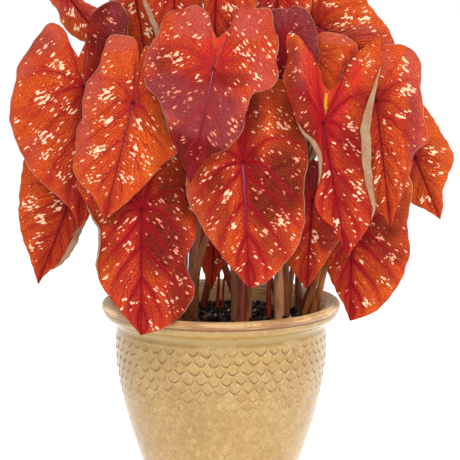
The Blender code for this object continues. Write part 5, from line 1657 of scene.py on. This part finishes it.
def glaze_material():
    """Golden tan stoneware glaze: it pools brown under the scales' edges, with painted shade there
    and a painted highlight just below, runs down paler on the belly, partly as painted sheen,
    burns to peach brown with dark streaks on the rim, which is painted lighter behind and darker
    in front as light and shade, and is stained inside."""
    made, tree, shader = new_material("glaze", specular=0.45, coat_roughness=0.08)
    solid = object_place(tree)
    x, y, z = numbers_of(solid)
    height = z * 1000.0
    from_axis = (x * x + y * y).math("SQRT")
    # The side towards the camera: there the rim is painted darker as shade, and its streaks and inner
    # edge are stronger.
    front = (y / from_axis).rises(-0.35, -0.95)
    relief = attribute(tree, "relief")
    rough = {
        "cloud": noise(solid, 24.0),
        "mottle": noise(solid, 95.0, 4.0, 0.65),
        "fine": noise(solid, 420.0, 2.0, 0.6),
        "runs": noise(stretched(solid, 1.0, 1.0, 0.45), 300.0, 3.0, 0.6),
        # A noise that breaks up the scales' painted highlight and shade lines.
        "mark_breakup": noise(solid, 75.0, 2.0, 0.6).rises(0.34, 0.50),
    }
    cloud, fine = rough["cloud"], rough["fine"]
    swell = noise(solid, 130.0, 1.0, 0.4)
    around = joined(x / from_axis * 3.0, y / from_axis * 3.0, from_axis * 480.0 + z * 300.0)
    streaks = noise(around, 1.0, 4.0, 0.65)
    shaded, lit, notch = scale_marks(tree, swell, cloud)
    inside = from_axis.rises(0.1035, 0.1020) * height.rises(179.0, 181.0)
    stain = from_axis.rises(0.1120, 0.1050) * height.rises(187.5, 190.5) * streaks.rises(0.44, 0.56)
    pits = cells(solid, 75.0).rises(0.10, 0.05) * cloud.rises(0.5, 0.6)
    colour = body_glaze(rough, height, shaded * relief.at_least(0.25), lit * relief)
    rim, colour = rim_glaze(colour, fine, streaks, front, height, from_axis)
    colour = painted(
        colour,
        (inside, GLAZE["inside"]),
        (stain * 0.60, GLAZE["stain"]),
        (pits * 0.8, GLAZE["pit"]))
    finish_material(
        shader, swell * 0.55 + fine * 0.03 - pits * 0.4 - notch * relief * 0.80, 0.0010,
        colour=colour,
        roughness=0.15 + (fine - 0.5) * 0.2 + rim * 0.20 + inside * 0.3,
        coat=0.30 - rim * 0.28 - inside * 0.02)
    return made


def soil_material():
    """Potting soil: near-black crumbs of several browns, some of them damp enough to glint, with
    a few pale grains."""
    made, tree, shader = new_material("soil", specular=0.15, coat_roughness=0.12)
    kind = attribute(tree, "kind")
    fine = noise(object_place(tree), 900.0, 3.0, 0.7)
    colour = painted(
        EARTH["dark"],
        (kind.rises(0.0, 0.8), EARTH["brown"]),
        (kind.rises(0.80, 0.84), EARTH["bark"]),
        (fine.rises(0.58, 0.72) * 0.4, EARTH["dust"]),
        (kind.rises(0.950, 0.954), EARTH["pale grain"]))
    finish_material(
        shader, fine, 0.0007, colour=colour,
        roughness=0.62 + (fine - 0.5) * 0.5,
        coat=kind.rises(0.40, 0.45) * kind.rises(0.80, 0.75))
    return made


def build_stage():
    """A pale floor so wide that no edge of it is in sight."""
    bpy.ops.mesh.primitive_plane_add(size=FLOOR_SIZE, location=(0.0, 0.0, 0.0))
    floor = bpy.context.object
    floor.name = "floor"
    made, _, _ = new_material(
        "floor_white", roughness=0.9, colour=(0.95, 0.95, 0.95, 1.0),
        emission_colour=(1.0, 1.0, 1.0, 1.0), emission=0.62)
    floor.data.materials.append(made)


def add_light(name, position, target, size, power):
    """A square soft box at position that faces target."""
    light = bpy.data.lights.new(name, "AREA")
    light.energy = power
    light.size = size
    made = bpy.data.objects.new(name, light)
    made.location = position
    x, y, z = (t - p for t, p in zip(target, position))
    made.rotation_euler = (math.atan2(math.hypot(x, y), -z), 0.0, math.atan2(y, x) - math.pi / 2)
    bpy.context.scene.collection.objects.link(made)


def build_light():
    """A white surround and the soft boxes."""
    world = bpy.data.worlds.new("studio")
    world.use_nodes = True
    surround = world.node_tree.nodes["Background"]
    surround.inputs["Color"].default_value = (1.0, 1.0, 1.0, 1.0)
    surround.inputs["Strength"].default_value = SURROUND
    bpy.context.scene.world = world
    bpy.context.scene.view_settings.view_transform = "Standard"
    for name, position, aim, size, power in LIGHTS:
        add_light(name, position, (0.0, 0.0, aim), size, power)


def build_camera():
    """The eye that the leaves are drawn from, level with the crown and tilted down to the pot."""
    camera = bpy.data.cameras.new("camera")
    camera.sensor_width = SENSOR
    camera.lens = SENSOR * EYE_DISTANCE / math.cos(EYE_TILT) / SHEET_SIZE
    made = bpy.data.objects.new("camera", camera)
    made.location = ((SHEET_CENTRE - AXIS_ACROSS) * MM, -EYE_DISTANCE * MM, EYE_HEIGHT * MM)
    made.rotation_euler = (math.pi / 2 - EYE_TILT, 0.0, 0.0)
    bpy.context.scene.collection.objects.link(made)
    bpy.context.scene.camera = made


def hand_over(piece, node):
    """A finished piece stands for its node and moves with the one body."""
    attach(piece, "root")
    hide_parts(node)


def main():
    build_stage()
    build_light()
    build_camera()
    blade, stalk = leaf_material("leaf_red"), petiole_material()
    earth = soil_material()
    hand_over(build_pot(glaze_material()), "pot")
    hand_over(build_soil_bed(earth), "soil")
    crumbs = build_crumbs(earth)
    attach(crumbs, "root")
    for index, leaf in enumerate(LEAVES):
        hand_over(build_leaf(leaf, index, blade), leaf["name"])
        hand_over(build_petiole(leaf, stalk), leaf["name"].replace("leaf", "petiole"))
    hand_over(build_sprout(stalk), "sprout")


main()
